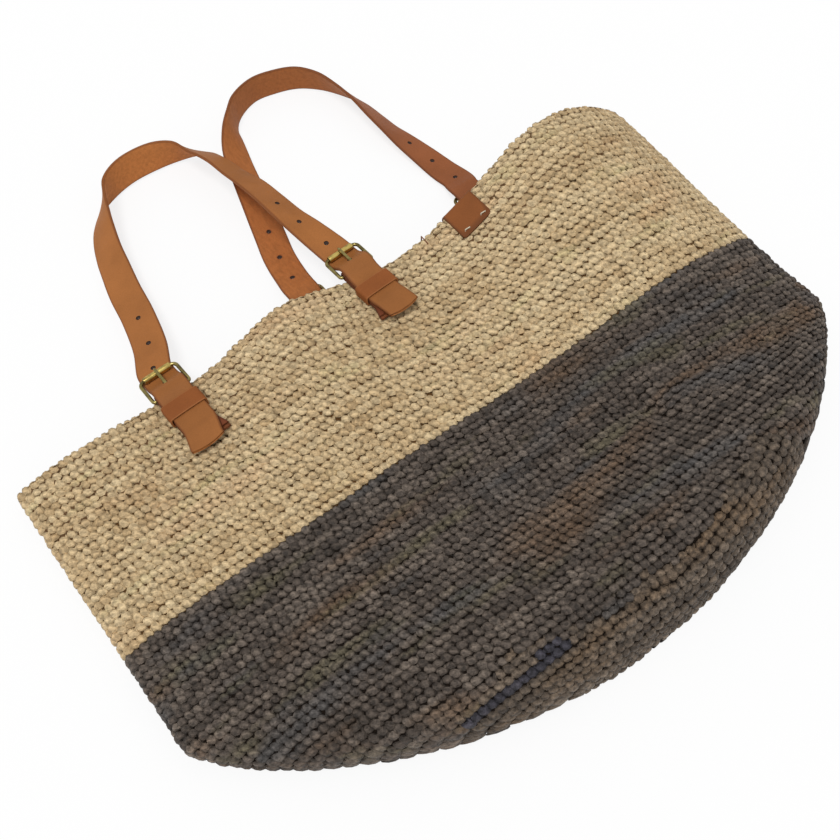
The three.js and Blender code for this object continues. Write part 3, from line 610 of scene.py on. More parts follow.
def lay_row(fabric_of, frames, rng, kept, thin=1.0):
    """Lays one row of stitches. fabric_of names the fabric that a stitch is worked in."""
    tones = wandering(rng, len(kept), 9)
    for i in range(len(kept)):
        size = rng.uniform(0.92, 1.1)
        lean = rng.gauss(0, 7.0)
        shift = Vector((rng.gauss(0, 0.3), rng.gauss(0, 0.3), rng.gauss(0, 0.18)))
        tone = 0.5 * tones[i] + 0.5 * rng.random()
        pick = rng.randrange(len(STITCHES))
        stretch = rng.uniform(0.96, 1.1)
        if not kept[i]:
            continue
        axes = Matrix((frames["along"][i], frames["upward"][i], frames["out"][i])).transposed().to_4x4()
        place = Matrix.Translation(Vector(in_frame(frames["places"][i])))
        local = Matrix.Translation(shift) @ Matrix.Rotation(math.radians(lean), 4, "Z")
        across, deep = size * frames["wide"][i], size * stretch * frames["deep"][i]
        local = local @ Matrix.Diagonal((across, deep, size * thin, 1.0))
        fabric_of(frames["places"][i]).add(place @ axes @ Matrix.Scale(MM, 4) @ local, STITCHES[pick], tone)


# %% Depths of the rows
STITCH_INSET = 1.7
BEND = {"from": 190.0, "over": 130.0, "most": 60.0}


def outline_depth(x):
    """Depth of the bag's outline below a place along the mouth."""
    depth = np.linspace(CORNER_DEPTH, BASE_EDGE, 400)
    return np.interp(-np.abs(x), -half_width(depth), depth)


def row_depths():
    """Depths of rows that lie evenly over the front, whose lower part bulges and falls to the base."""
    depth = np.linspace(0, BASE_EDGE, 2000)
    travelled = distances(bag_point(np.full(2000, math.pi / 2), depth, STITCH_INSET)[:, 1:])
    border = float(np.interp(BAND_DEPTH, depth, travelled))
    count = round(border / NATURAL_ROW)
    marks = [border * (k + 0.5) / count for k in range(count)]
    marks += list(np.arange(border + GREY_ROW / 2, travelled[-1], GREY_ROW))
    return np.interp(marks, travelled, depth)


def bent_depth(angles, depth):
    """Low rows bend towards the mouth at their ends, as the outline does, and more so at the right."""
    x = np.sign(np.cos(angles)) * np.abs(np.cos(angles)) ** END_POWER * half_width(depth)
    rise = np.minimum(BAG_DEPTH - outline_depth(x), BEND["most"])
    share = 0.1 + 0.4 * smooth((x + 40.0) / 160.0)
    return depth - share * smooth((depth - BEND["from"]) / BEND["over"]) * rise


def wall_row(depth, inset):
    """A row right round the bag, by share of its length and lift to the mouth."""

    def place_of(shares, lift):
        angles = 2 * math.pi * shares
        return bag_point(angles, bent_depth(angles, np.clip(depth - lift, 0.0, BASE_EDGE)), inset)

    return place_of


ROWS = row_depths()
GAPS = np.gradient(ROWS)
print(len(ROWS), "rows, the last at", round(float(ROWS[-1]), 1), "mm")

# %% [markdown]
# ## The coarse base
# Round the base the raffia is browner and worked coarser, in rows that follow the outline. They are spaced
# by their true distance over the bulge, which is nearly upright at the toe, so in plan they lie close.

# %% Sizes of the coarse base
COARSE = 1.12
COARSE_ROW = 7.4
BASE_ROWS = 8
BASE_FROM_X, BASE_TO_X = -80.0, 185.0
BROWN_FROM_X = -165.0
BASE_DISTANCES = np.linspace(0.0, 90.0, 181)


def base_table(places):
    """Depth at each distance over the bulge from the outline, for places along the mouth."""
    table = []
    for x in places:
        depth = np.linspace(float(outline_depth(x)), CORNER_DEPTH, 300)
        table.append(np.interp(BASE_DISTANCES, distances(panel_point(x, depth, 0.0)[:, 1:]), depth))
    return np.array(table)


TABLE_X = np.linspace(BROWN_FROM_X - 30.0, BASE_TO_X + 30.0, 126)
TABLE = base_table(TABLE_X)


def base_depth(x, distance):
    """Depth of the place at a distance over the bulge from the outline."""
    column = np.clip((x - TABLE_X[0]) / (TABLE_X[-1] - TABLE_X[0]), 0, 1) * (len(TABLE_X) - 1)
    row = np.clip(distance / BASE_DISTANCES[-1], 0, 1) * (len(BASE_DISTANCES) - 1)
    i = np.minimum(column.astype(int), len(TABLE_X) - 2)
    j = np.minimum(row.astype(int), len(BASE_DISTANCES) - 2)
    u, v = column - i, row - j
    near = TABLE[i, j] * (1 - v) + TABLE[i, j + 1] * v
    far = TABLE[i + 1, j] * (1 - v) + TABLE[i + 1, j + 1] * v
    return near * (1 - u) + far * u


def base_reach(x, from_x=BASE_FROM_X):
    """How far over the bulge the coarse rows, or the brown raffia, reach in from the outline."""
    return BASE_ROWS * COARSE_ROW * smooth((x - from_x) / 75.0) * smooth((BASE_TO_X - x) / 60.0)


def base_row(distance, inset):
    """A coarse row, by share of its length and lift to the mouth."""

    def place_of(shares, lift):
        x = BASE_TO_X + (BASE_FROM_X - BASE_TO_X) * shares
        return panel_point(x, base_depth(x, np.maximum(distance + lift, 0.0) * np.ones_like(x)), inset)

    return place_of


print("the coarse rows reach", round(float(base_reach(60.0)), 1), "mm over the bulge")


# %% Raffia of each stitch
TURN_HEIGHT = 12.0
STRAND = {"depth": 304.5, "width": 5.4, "from": -138.0, "to": -64.0}
BOTH_GREYS = ("grey_raffia_wall", "grey_raffia_base")
natural = Fabric("natural_crochet", NATURAL, "natural_raffia", "natural_raffia_band")
grey = Fabric("grey_crochet", GREY, "grey_raffia", *BOTH_GREYS)
base = Fabric("base_crochet", BROWN, "brown_raffia", "grey_raffia_base")
dark = Fabric("dark_strand", MIDNIGHT, "grey_raffia", *BOTH_GREYS)
rng = random.Random(7)


def wall_keep(at, points, depth, back_open):
    """Stitches of the wall stop where the coarse rows begin, and lie apart on the underside."""
    angles = 2 * math.pi * at
    x = points[:, 0]
    border = base_depth(x, base_reach(x) - 1.5)
    clear = bent_depth(angles, depth) < np.where(base_reach(x) > 1.5, border, BASE_EDGE + 1.0)
    return np.where(np.sin(angles) > 0, clear, back_open)


def worked_in(point):
    """The raffia that a stitch below the band was worked in, by its place."""
    x, y, z = point
    if z < TURN_HEIGHT and x < BASE_FROM_X:
        return grey
    if abs(y + STRAND["depth"]) < STRAND["width"] / 2 and STRAND["from"] < x < STRAND["to"]:
        return dark
    at = np.array([x])
    brown = base_reach(at, BROWN_FROM_X)[0]
    return base if brown > 2.0 and -y > base_depth(at, brown + rng.gauss(0, 3.5))[0] else grey


print("fabrics:", [fabric.name for fabric in (natural, grey, base, dark)])


# %% Crochet of the wall
ROW_DRIFT, FIRST_COARSE = 0.13, 3.2
drift, last_back = 0.0, -10.0
for depth, gap in zip(ROWS, GAPS):
    drift += ROW_DRIFT
    frames = row_frames(wall_row(depth, STITCH_INSET), gap, drift)
    lay_flat(frames)
    back_open = depth - last_back > 0.75 * ROW_DEPTH
    last_back = depth if back_open else last_back
    kept = wall_keep(frames["at"], frames["places"], depth, back_open)
    lay_row((lambda point: natural) if depth < BAND_DEPTH else worked_in, frames, rng, kept)
for number in range(BASE_ROWS):
    distance = FIRST_COARSE + COARSE_ROW * number
    half_stitch = 0.5 * (number % 2)
    frames = row_frames(base_row(distance, STITCH_INSET), COARSE_ROW, half_stitch, COARSE, closed=False)
    kept = distance < base_reach(frames["places"][:, 0]) + 1.0
    lay_row(lambda point: base, frames, rng, kept, thin=1.15)
print("stitches of the wall and the base are laid")

# %% [markdown]
# ## The rim and the inside
# The last round closes the rim: its stitches sit on the edge and show their ends past the mouth. A few
# rounds are worked on the inside as well, as far as an eye can follow them in, and a closed dark sheet lies
# between the two faces of the fabric as painted shade, seen through the gaps between the stitches.

# %% Rim and inner rows
INNER_ROWS, FIRST_INNER, RIM_DEPTH = 8, 4.4, 1.3


def rim_row(shares, lift):
    """The rim, whose stitches face past the mouth. Lift runs through the wall, from its inside out."""
    return bag_point(2 * math.pi * shares, np.full(len(shares), RIM_DEPTH), WALL / 2 - lift)


def lay_whole_row(frames, thin):
    """Lays a row of the natural raffia with every stitch kept."""
    lay_row(lambda point: natural, frames, rng, np.ones(len(frames["at"]), bool), thin)


frames = row_frames(rim_row, WALL, 0.4, 0.75)
frames["out"] = np.tile([0.0, 1.0, 0.0], (len(frames["at"]), 1))
frames["upward"] = np.cross(frames["out"], frames["along"])
lay_whole_row(frames, 0.65)
for number in range(INNER_ROWS):
    depth = FIRST_INNER + NATURAL_ROW * number
    frames = row_frames(wall_row(depth, WALL - STITCH_INSET + 0.4), NATURAL_ROW, ROW_DRIFT * number)
    for key in ("out", "along"):
        frames[key] = -frames[key]
    lay_whole_row(frames, 0.7)
for fabric in (natural, grey, base, dark):
    fabric.close()
    print(fabric.name, "in", fabric.pieces, "pieces")


# %% Grids bent into shape
def bent_grid(name, place, around, along, material, close_along=False, attributes=None, merge=2e-6):
    """A tube: a grid whose columns go round a section and whose rows go along. place(i, j) gives points."""
    bm = bmesh.new()
    bmesh.ops.create_grid(bm, x_segments=around, y_segments=along, size=0.5)
    attributes = attributes or {}
    layers = {key: bm.verts.layers.float.new(key) for key in attributes}
    verts = list(bm.verts)
    flat = np.array([v.co[:2] for v in verts]) + 0.5
    i = np.rint(flat[:, 0] * around).astype(int) % around
    j = np.rint(flat[:, 1] * along).astype(int)
    if close_along:
        j = j % along
    for v, point in zip(verts, place(i, j)):
        v.co = point
    for key, values in attributes.items():
        for v, value in zip(verts, values(i, j)):
            v[layers[key]] = value
    bmesh.ops.remove_doubles(bm, verts=bm.verts, dist=merge)
    if not close_along:
        ends = [edge for edge in bm.edges if edge.is_boundary]
        bmesh.ops.holes_fill(bm, edges=ends, sides=0)
    bmesh.ops.recalc_face_normals(bm, faces=bm.faces)
    return make_piece(bm, name, material)


# %% Sheet of painted shade under the stitches
SHADE_SHEET_COLUMNS = 200


def shade_sheet(name, profile, closed, material, node, slot):
    """A closed double sheet of painted shade inside the fabric, from the depths and insets of its rings."""
    depths, insets = np.array(profile).T

    def place(i, j):
        return in_frame(bag_point(i / SHADE_SHEET_COLUMNS * 2 * math.pi, depths[j], insets[j]))

    rows = len(profile) if closed else len(profile) - 1
    piece = bent_grid(name, place, SHADE_SHEET_COLUMNS, rows, material, close_along=closed, merge=1e-5)
    stand_for(piece, "bag_body", slot, node)


# Insets of the sheets of painted shade from the outside and the inside of the wall, and the depth where the
# grey one ends.
OUTER_SHADE_SHEET, INNER_SHADE_SHEET, SHADE_SHEET_END = 2.1, WALL - 0.7, 316.0
band_out = [(d, OUTER_SHADE_SHEET) for d in np.linspace(BAND_DEPTH, 1.6, 30)]
band_in = [(d, INNER_SHADE_SHEET) for d in np.linspace(1.6, BAND_DEPTH, 20)]
shade_sheet("natural_shade_sheet", band_out + band_in, True, NATURAL_SHADE_SHEET, "natural_raffia_band", "natural_raffia")
toe = [(d, OUTER_SHADE_SHEET) for d in np.linspace(BASE_EDGE - 0.4, 300.0, 16)]
wall_out = [(d, OUTER_SHADE_SHEET) for d in np.linspace(297.0, BAND_DEPTH, 30)]
wall_in = [(d, INNER_SHADE_SHEET) for d in np.linspace(BAND_DEPTH, SHADE_SHEET_END, 24)]
shade_sheet("grey_shade_sheet", toe + wall_out + wall_in, False, GREY_SHADE_SHEET, "grey_raffia_wall", "grey_raffia")
print("cores laid")

# %% [markdown]
# ## Leather straps
# Each handle is one strap of bridle leather: its tails lie under the keepers, it climbs over each heel bar,
# goes through the buckle under the roller, and runs free in between. A grid is bent round a smooth line of
# sections, so that the strap has its true thickness and softly rounded edges, and then the holes are
# punched with a boolean, as a maker punches them.

# %% Sizes of the leather and the buckles
STRAP_WIDTH, STRAP_THICKNESS = 26.0, 2.4
CHAPE_THICKNESS, CHAPE_LENGTH = 1.7, 50.0
TAIL_LENGTH, END_CURVE = 57.0, 2.2
KEEPER_THICKNESS, KEEPER_LENGTH = 1.4, 14.0
CLEARANCE, SIDE_CLEARANCE = 0.3, 0.5
WIRE, BUCKLE_LENGTH, TIP_RADIUS, HEEL_RADIUS = 2.8, 21.0, 4.0, 1.8
ROLLER_DIAMETER, ROLLER_BORE = 5.0, 3.4
THREAD = 1.0
HOLE_DIAMETER, HOLE_PITCH = 4.0, 28.0
HOLE_AT = {"front_left": 29.0, "front_right": 38.0, "back_left": 39.0, "back_right": 43.0}
EYE = WIRE / 2 + CLEARANCE + CHAPE_THICKNESS
CHAPE_TOP = -EYE + 2 * CHAPE_THICKNESS + CLEARANCE
TAIL_REST = CHAPE_TOP + CLEARANCE + STRAP_THICKNESS / 2
TAIL_RAISED = CHAPE_TOP + 2 * CLEARANCE + THREAD + STRAP_THICKNESS / 2
OVER_EYE = EYE + CLEARANCE + STRAP_THICKNESS / 2
UNDER_ROLLER = -(ROLLER_DIAMETER / 2 + CLEARANCE + STRAP_THICKNESS / 2)
PLACES = ("front_left", "front_right", "back_left", "back_right")
KEEPER_AT = {"front_left": 17.0, "front_right": 24.5, "back_left": 18.0, "back_right": 18.0}
JOINTS = {joint["name"]: joint for joint in frame["joints"]}
print("a tail lies", round(TAIL_REST, 2), "mm over the middle of its heel bar")


# %% Stations of the buckles
def station(place):
    """Millimetres at a buckle: X along its heel bar, Y out along the strap, Z away from the bag."""
    heel = Vector(JOINTS[place + "_prong_lift"]["pos_m"])
    across = Vector(JOINTS[place + "_prong_lift"]["axis"]).normalized()
    outward = Vector(JOINTS[place + "_roller_spin"]["pos_m"]) - heel
    outward = (outward - across * outward.dot(across)).normalized()
    axes = Matrix((across, outward, across.cross(outward))).transposed().to_4x4()
    return Matrix.Translation(heel) @ axes @ Matrix.Scale(MM, 4)


STATIONS = {place: station(place) for place in PLACES}


def at_station(place, points):
    """Points in a station's millimetres, as metres in the frame."""
    matrix = np.array(STATIONS[place])
    points = np.asarray(points, float)
    return points @ matrix[:3, :3].T + matrix[:3, 3]


print("stations:", {name: [round(c, 4) for c in m.translation] for name, m in STATIONS.items()})


# %% Section of a strap
def rounded_section(width, thickness, radius, across=9, corner=3):
    """Outline of a strap's section, with rounded corners: places across and through, in millimetres."""
    half, thick = width / 2, thickness / 2
    turns = [math.pi / 2 - math.pi / 2 * k / (corner + 0.5) for k in range(1, corner + 1)]
    points = []
    for side in (1, -1):
        points += [(side * u, side * thick) for u in np.linspace(radius - half, half - radius, across)]
        for level, angles in ((side, turns), (-side, turns[::-1])):
            for a in angles:
                x = half - radius + radius * math.cos(a)
                points.append((side * x, level * (thick - radius + radius * math.sin(a))))
    return np.array(points)


# %% Line of a strap
def spline(stops, spacing):
    """A centripetal Catmull-Rom line through the stops, resampled at an even spacing."""
    p = np.asarray(stops, float)
    p = np.vstack([2 * p[0] - p[1], p, 2 * p[-1] - p[-2]])
    line = []
    for k in range(1, len(p) - 2):
        knots = [0.0]
        for a, b in zip(p[k - 1 : k + 2], p[k : k + 3]):
            knots.append(knots[-1] + max(np.linalg.norm((b - a)[:3]), 1e-6) ** 0.5)
        t = np.linspace(knots[1], knots[2], 24, endpoint=False)[:, None]
        mix = lambda a, b, x, y: (y - t) / (y - x) * a + (t - x) / (y - x) * b
        a1 = mix(p[k - 1], p[k], knots[0], knots[1])
        a2 = mix(p[k], p[k + 1], knots[1], knots[2])
        a3 = mix(p[k + 1], p[k + 2], knots[2], knots[3])
        line.append(mix(mix(a1, a2, knots[0], knots[2]), mix(a2, a3, knots[1], knots[3]), knots[1], knots[2]))
    line = np.vstack(line + [p[-2:-1]])
    travelled = distances(line[:, :3])
    marks = np.linspace(0, travelled[-1], int(travelled[-1] / spacing) + 1)
    return np.stack([np.interp(marks, travelled, line[:, c]) for c in range(line.shape[1])], axis=1), marks


def ribbon_frames(line):
    """Axes along, across and through a ribbon, from its line and the wanted across directions."""
    points, wanted = line[:, :3], line[:, 3:6]
    along = np.gradient(points, axis=0)
    along /= np.linalg.norm(along, axis=1, keepdims=True)
    across = wanted - along * np.sum(wanted * along, axis=1, keepdims=True)
    across /= np.linalg.norm(across, axis=1, keepdims=True)
    grain = np.cross(across, along)
    return points, along, across, grain


# %% Runs of the two handles
# x and y of the strap's middle, height of its lowest edge above the floor, and its roll from flat
FRONT_RUN = [
    (-153.6, 51, 17, 8), (-147, 84.5, 11.5, 12), (-143.7, 112.3, 8.5, 14), (-139.3, 136.6, 6, 22),
    (-135.5, 156.1, 4, 30), (-129.5, 176, 2.5, 38), (-123.5, 190, 1.8, 50), (-115.5, 204, 1, 68),
    (-104, 216.5, 1, 92), (-84, 226, 1, 105), (-57.5, 227, 1, 103), (-40, 221.5, 1.4, 84),
    (-30, 213, 4, 60), (-24.9, 203, 9.5, 42), (-21.6, 188.2, 15, 38), (-18.8, 176, 16.7, 37),
    (-16, 157.5, 18.7, 34), (-12, 137.3, 22.5, 27), (-10, 110.6, 26.8, 25), (-8, 82.7, 30.4, 20),
    (-3, 60, 31, 8),
]
BACK_RUN = [
    (-30, 52, 5.3, 180), (-25.5, 80, 1.1, 179), (-19, 105, 0.4, 175), (-12, 132, 0.4, 168),
    (-4, 165.5, 0.4, 154), (3, 190.6, 0.4, 146), (12, 211, 0.4, 122), (20, 224.5, 0.4, 101),
    (32, 237, 0.5, 96), (54.7, 246.5, 0.5, 90), (75, 244.4, 0.5, 88), (94.5, 236.5, 0.5, 84),
    (109, 220.5, 0.5, 74), (118, 200, 0.5, 60), (123.5, 180, 0.5, 48), (125.4, 157.6, 0.5, 40),
    (127, 139, 0.5, 34), (130.3, 121, 0.5, 22), (134.2, 100, 0.5, 12), (138, 75.4, 1.2, 3),
    (139.2, 58, 4.8, 0),
]
THROUGH_BUCKLE = [
    (-TAIL_LENGTH, TAIL_RAISED), (-47, TAIL_RAISED), (-41.5, TAIL_RAISED), (-36.5, TAIL_REST + 0.2),
    (-30, TAIL_REST), (-20, TAIL_REST), (-12, TAIL_REST + 0.05), (-8, TAIL_REST + 0.55),
    (-4, 0.83 * OVER_EYE), (0, OVER_EYE), (4, OVER_EYE - 0.45), (6.5, 0.55 * OVER_EYE),
    (0.5 * BUCKLE_LENGTH, 0.1 * UNDER_ROLLER), (0.76 * BUCKLE_LENGTH, 0.86 * UNDER_ROLLER),
    (BUCKLE_LENGTH, UNDER_ROLLER), (BUCKLE_LENGTH + 5, UNDER_ROLLER),
]


def handle_stops(side, run):
    """Stops of a strap from tail to tail: a point in the frame and the direction across it."""
    ends = []
    for hand, way in (("_left", 1), ("_right", -1 if side == "front" else 1)):
        matrix = STATIONS[side + hand]
        across = matrix.to_3x3() @ Vector((way, 0, 0)) / MM
        ends.append([(*(matrix @ Vector((0, y, z)) / MM), *across) for y, z in THROUGH_BUCKLE])
    stops = []
    for k, (x, y, lowest, roll) in enumerate(run):
        before = run[k - 1] if k > 0 else (x, y - 1)
        after = run[k + 1] if k < len(run) - 1 else (x, y - 1)
        along = Vector((after[0] - before[0], after[1] - before[1], 0)).normalized()
        angle = math.radians(roll)
        across = Vector((along.y, -along.x, 0)) * math.cos(angle) + Vector((0, 0, math.sin(angle)))
        rise = (STRAP_WIDTH * math.sin(angle) + STRAP_THICKNESS * abs(math.cos(angle))) / 2
        stops.append((x, y + MOUTH_LINE_Y, lowest + rise, *across))
    return ends[0] + stops + ends[1][::-1]


print("handles:", len(FRONT_RUN), "and", len(BACK_RUN), "stops between their buckles")


# %% Leather
def leather(name, color, flesh, edge):
    """Tanned leather: mottled grain side, fibrous flesh side and dark burnished edges."""
    bench = Finish(name)

    def mottled(tone, pattern, places, shares=(0.86, 1.0, 1.14)):
        return bench.ramp(pattern, *((place, linear(tone, share)) for place, share in zip(places, shares)))

    cloud = bench.noise(38.0, 4.0)
    grain_side = mottled(color, cloud, (0.25, 0.5, 0.8))
    fibres = bench.noise(420.0, 5.0, (1.0, 0.35, 1.0))
    flesh_side = mottled(flesh, fibres, (0.3, 0.5, 0.72), (0.86, 1.0, 1.12))
    shades = bench.mix("MIX", bench.read("flesh"), grain_side, flesh_side)
    pores = bench.noise(1500.0, 3.0)
    shades = bench.mix("MULTIPLY", 1.0, shades, bench.spread(pores, 0.3, 0.6, 0.88, 1.03))
    worn = bench.compute("ADD", bench.read("edge"), bench.compute("MULTIPLY", cloud, 0.1))
    shades = bench.mix("MIX", bench.spread(worn, 0.93, 1.02, 0.0, 0.7), shades, linear(edge))
    shades = bench.mix("MULTIPLY", 1.0, shades, bench.compute("SUBTRACT", 1.0, bench.read("tone")))
    creases = bench.noise(210.0, 6.0)
    height = bench.compute("ADD", pores, bench.compute("MULTIPLY", creases, 1.6))
    sockets = {"Base Color": shades, "Roughness": 0.6, "Specular IOR Level": 0.15}
    return bench.done(sockets, height, 0.32, 0.0003)


TAN = leather("tan_leather", (158, 100, 53), (184, 116, 62), (110, 62, 34))
DEEP_TAN = leather("deep_tan_leather", (142, 84, 50), (164, 100, 54), (100, 56, 32))
CHAPE_LEATHER = leather("chape_leather", (112, 60, 36), (120, 70, 42), (84, 44, 26))
LABEL_LEATHER = leather("label_leather", (130, 76, 38), (134, 84, 48), (92, 54, 30))
KEEPER_LEATHER = leather("keeper_leather", (136, 78, 38), (134, 84, 48), (160, 104, 62))


def hole_shade_material():
    """Painted shade for the inside of a punched hole: a dark brown, as a deep narrow hole looks in shade."""
    bench = Finish("painted_hole_shade")
    shades = bench.ramp(bench.noise(900.0, 2.0), (0.3, linear((34, 20, 14))), (0.7, linear((52, 31, 20))))
    return bench.done({"Base Color": shades, "Roughness": 0.8})


HOLE_SHADE = hole_shade_material()
print("leathers:", TAN.name, DEEP_TAN.name, CHAPE_LEATHER.name, LABEL_LEATHER.name, KEEPER_LEATHER.name)


# %% Punched holes
def cut_away(piece, bm):
    """Cuts a closed shape out of a piece, and leaves no modifier on it."""
    bmesh.ops.recalc_face_normals(bm, faces=bm.faces)
    tool = make_piece(bm, piece.name + "_punch", piece.data.materials[0])
    # The walls of the cut get the painted shade of a hole.
    for mesh in (piece.data, tool.data):
        mesh.materials.append(HOLE_SHADE)
    tool.data.polygons.foreach_set("material_index", [1] * len(tool.data.polygons))
    cut = piece.modifiers.new("punch", "BOOLEAN")
    cut.operation, cut.solver, cut.object = "DIFFERENCE", "EXACT", tool
    done = bpy.data.meshes.new_from_object(piece.evaluated_get(bpy.context.evaluated_depsgraph_get()))
    piece.modifiers.clear()
    piece.data = done
    bpy.data.objects.remove(tool)


def punch(piece, cutters):
    """Cuts round holes out of a piece, by start, end, radius and waist."""
    bm = bmesh.new()
    for start, end, radius, waist in cutters:
        start, end = Vector(start), Vector(end)
        half = (end - start).length / 2
        lip = min(0.7 * MM, half / 2)
        profile = [(0.0, -half), (radius, -half), (radius, -lip), (waist, 0.0), (radius, lip), (radius, half)]
        verts = [bm.verts.new((r, 0.0, z)) for r, z in [*profile, (0.0, half)]]
        edges = [bm.edges.new(pair) for pair in zip(verts, verts[1:])]
        axis = (end - start).to_track_quat("Z", "Y").to_matrix().to_4x4()
        turned = {"cent": (0, 0, 0), "axis": (0, 0, 1), "angle": 2 * math.pi, "steps": 20, "use_merge": True}
        bmesh.ops.spin(bm, geom=verts + edges, **turned)
        spun = [v for v in bm.verts if v.is_valid and not v.tag]
        bmesh.ops.transform(bm, matrix=Matrix.Translation((start + end) / 2) @ axis, verts=spun)
        for v in spun:
            v.tag = True
    bmesh.ops.remove_doubles(bm, verts=bm.verts, dist=1e-6)
    cut_away(piece, bm)


# %% Handles
TAIL_SKEW = {"front": (-4.0, -1.5), "back": (0.0, 0.0)}  # how far the ends of the tails lean aside, mm
SKEW_REACH, CURVE_REACH, CROWN = 22, 8, 0.1
TAIL_TONE, TONE_FROM, TONE_OVER = 0.16, 60, 30
# The strap holes narrow almost shut at their waist, so what shows in them is their painted shade.
STRAP_HOLE, PRONG_HOLE = (HOLE_DIAMETER / 2 * MM, 0.12 * MM), (1.9 * MM, 1.9 * MM)  # radius and waist


def make_handle(side, run, material):
    """One strap, tail to tail, with its punched holes."""
    line, marks = spline(handle_stops(side, run), 1.6)
    points, along, across, grain = ribbon_frames(line)
    outline = rounded_section(STRAP_WIDTH, STRAP_THICKNESS, 0.9)
    rng = np.random.default_rng(11 if side == "front" else 12)
    wobble = np.interp(marks, np.linspace(0, marks[-1], 24), rng.normal(0, 0.12, 24))
    from_ends = (marks, marks[-1] - marks)
    skew = sum(lean * smooth(1 - away / SKEW_REACH) for lean, away in zip(TAIL_SKEW[side], from_ends))
    tail_tone = sum(TAIL_TONE * (1 - smooth((away - TONE_FROM) / TONE_OVER)) for away in from_ends)
    end_curve = END_CURVE * np.maximum(0, 1 - np.minimum(*from_ends) / CURVE_REACH)
    end_curve *= np.sign(marks[-1] / 2 - marks)

    def place(i, j):
        u, n = outline[i, 0], outline[i, 1]
        square = (u / (STRAP_WIDTH / 2)) ** 2
        crown = CROWN * (1 - square) * np.sign(n)
        aside = across[j] * (u + wobble[j] + skew[j])[:, None]
        offset = aside + grain[j] * (n + crown)[:, None] + along[j] * (end_curve[j] * square)[:, None]
        return (points[j] + offset) * MM

    piece = bent_grid(
        side + "_handle", place, len(outline), len(marks) - 1, material,
        attributes={
            "edge": lambda i, j: np.abs(outline[i, 0]) / (STRAP_WIDTH / 2),
            "flesh": lambda i, j: (outline[i, 1] < 0).astype(float),
            "tone": lambda i, j: tail_tone[j],
        },
    )
    cutters = []
    for k in range(3):
        over_heel = TAIL_LENGTH + 3 + k * HOLE_PITCH
        for at in (over_heel + HOLE_AT[side + "_left"], marks[-1] - over_heel - HOLE_AT[side + "_right"]):
            s = int(np.argmin(np.abs(marks - at)))
            reach = grain[s] * 2 * STRAP_THICKNESS
            cutters.append(((points[s] - reach) * MM, (points[s] + reach) * MM, *STRAP_HOLE))
    for hand in ("_left", "_right"):
        cutters.append((*at_station(side + hand, [(0, 2.0, 2.6), (0, 15.0, 3.3)]), *PRONG_HOLE))
    punch(piece, cutters)
    piece.data.polygons.foreach_set("use_smooth", [True] * len(piece.data.polygons))
    piece.data.set_sharp_from_angle(angle=math.radians(40))
    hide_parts(side + "_handle_strap", side + "_left_strap_tail", side + "_right_strap_tail")
    start, end = at_station(side + "_left", [(0, -9.0, 0), (0, 2.5, 0)])
    tuple(start)
    tuple(end)
    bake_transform(piece)
    print(piece.name, "length", round(float(marks[-1])), "mm,", len(piece.data.polygons), "faces")


make_handle("front", FRONT_RUN, TAN)
make_handle("back", BACK_RUN, DEEP_TAN)

# %% [markdown]
# ## Chapes and keepers
# A chape is a short strap folded round the buckle's heel bar and sewn down to the bag, with a slot for the
# prong. A keeper is a band of thinner leather round the strap's tail and the chape, which slides along
# them. A chape is a section bent along a line, as a ribbon, and a keeper is one swept round a ring. The
# buckles are made in the same two ways.

# %% Ribbons and rings at a station
def flat_line(stops, spacing):
    """A line in a station's Y-Z plane, with the across direction along X."""
    return spline([(0, y, z, 1, 0, 0) for y, z in stops], spacing)


def station_ribbon(name, place, line, outline, material, wide=1.0, thick=1.0, aside=0.0, attributes=None):
    """A section bent along a line, where it may widen, thicken or lean aside."""
    points, _, across, grain = ribbon_frames(line)
    wide, thick, aside = (np.broadcast_to(value, len(line)) for value in (wide, thick, aside))

    def put(i, j):
        u, n = outline[i, 0] * wide[j] + aside[j], outline[i, 1] * thick[j]
        return at_station(place, points[j] + across[j] * u[:, None] + grain[j] * n[:, None])

    return bent_grid(name, put, len(outline), len(line) - 1, material, attributes=attributes)


def rounded_ring(half, low, high, low_radius, high_radius, steps):
    """A ring with rounded corners: its points, and the directions out of it."""
    corners = [(1, high - high_radius, high_radius), (-1, high - high_radius, high_radius)]
    corners += [(-1, low + low_radius, low_radius), (1, low + low_radius, low_radius)]
    points, outs = [], []
    for quarter, (side, level, radius) in enumerate(corners):
        for turn in np.linspace(0, 90, steps):
            a = math.radians(90 * quarter + turn)
            outs.append((math.cos(a), math.sin(a)))
            points.append((side * (half - radius) + radius * math.cos(a), level + radius * math.sin(a)))
    return np.array(points), np.array(outs)


def station_ring(name, place, ring, outs, outline, axes, material, attributes=None):
    """A section swept round a ring. axes says where X, Y and Z are found: in the ring, or 2 for past it."""

    def put(i, j):
        local = np.column_stack([ring[j] + outs[j] * outline[i, 1][:, None], outline[i, 0]])
        return at_station(place, local[:, axes])

    return bent_grid(name, put, len(outline), len(ring), material, close_along=True, attributes=attributes)


# %% Chapes
CHAPE_SKEW = {"front_left": 3.2, "front_right": -3.0}  # how far the ends lean aside, mm
CHAPE_SKEW_FROM, CHAPE_SKEW_OVER = 36.5, 13
PRONG_SLOT = {"radius": 1.85, "behind": -4.6, "ahead": 3.0, "reach": 6.0}


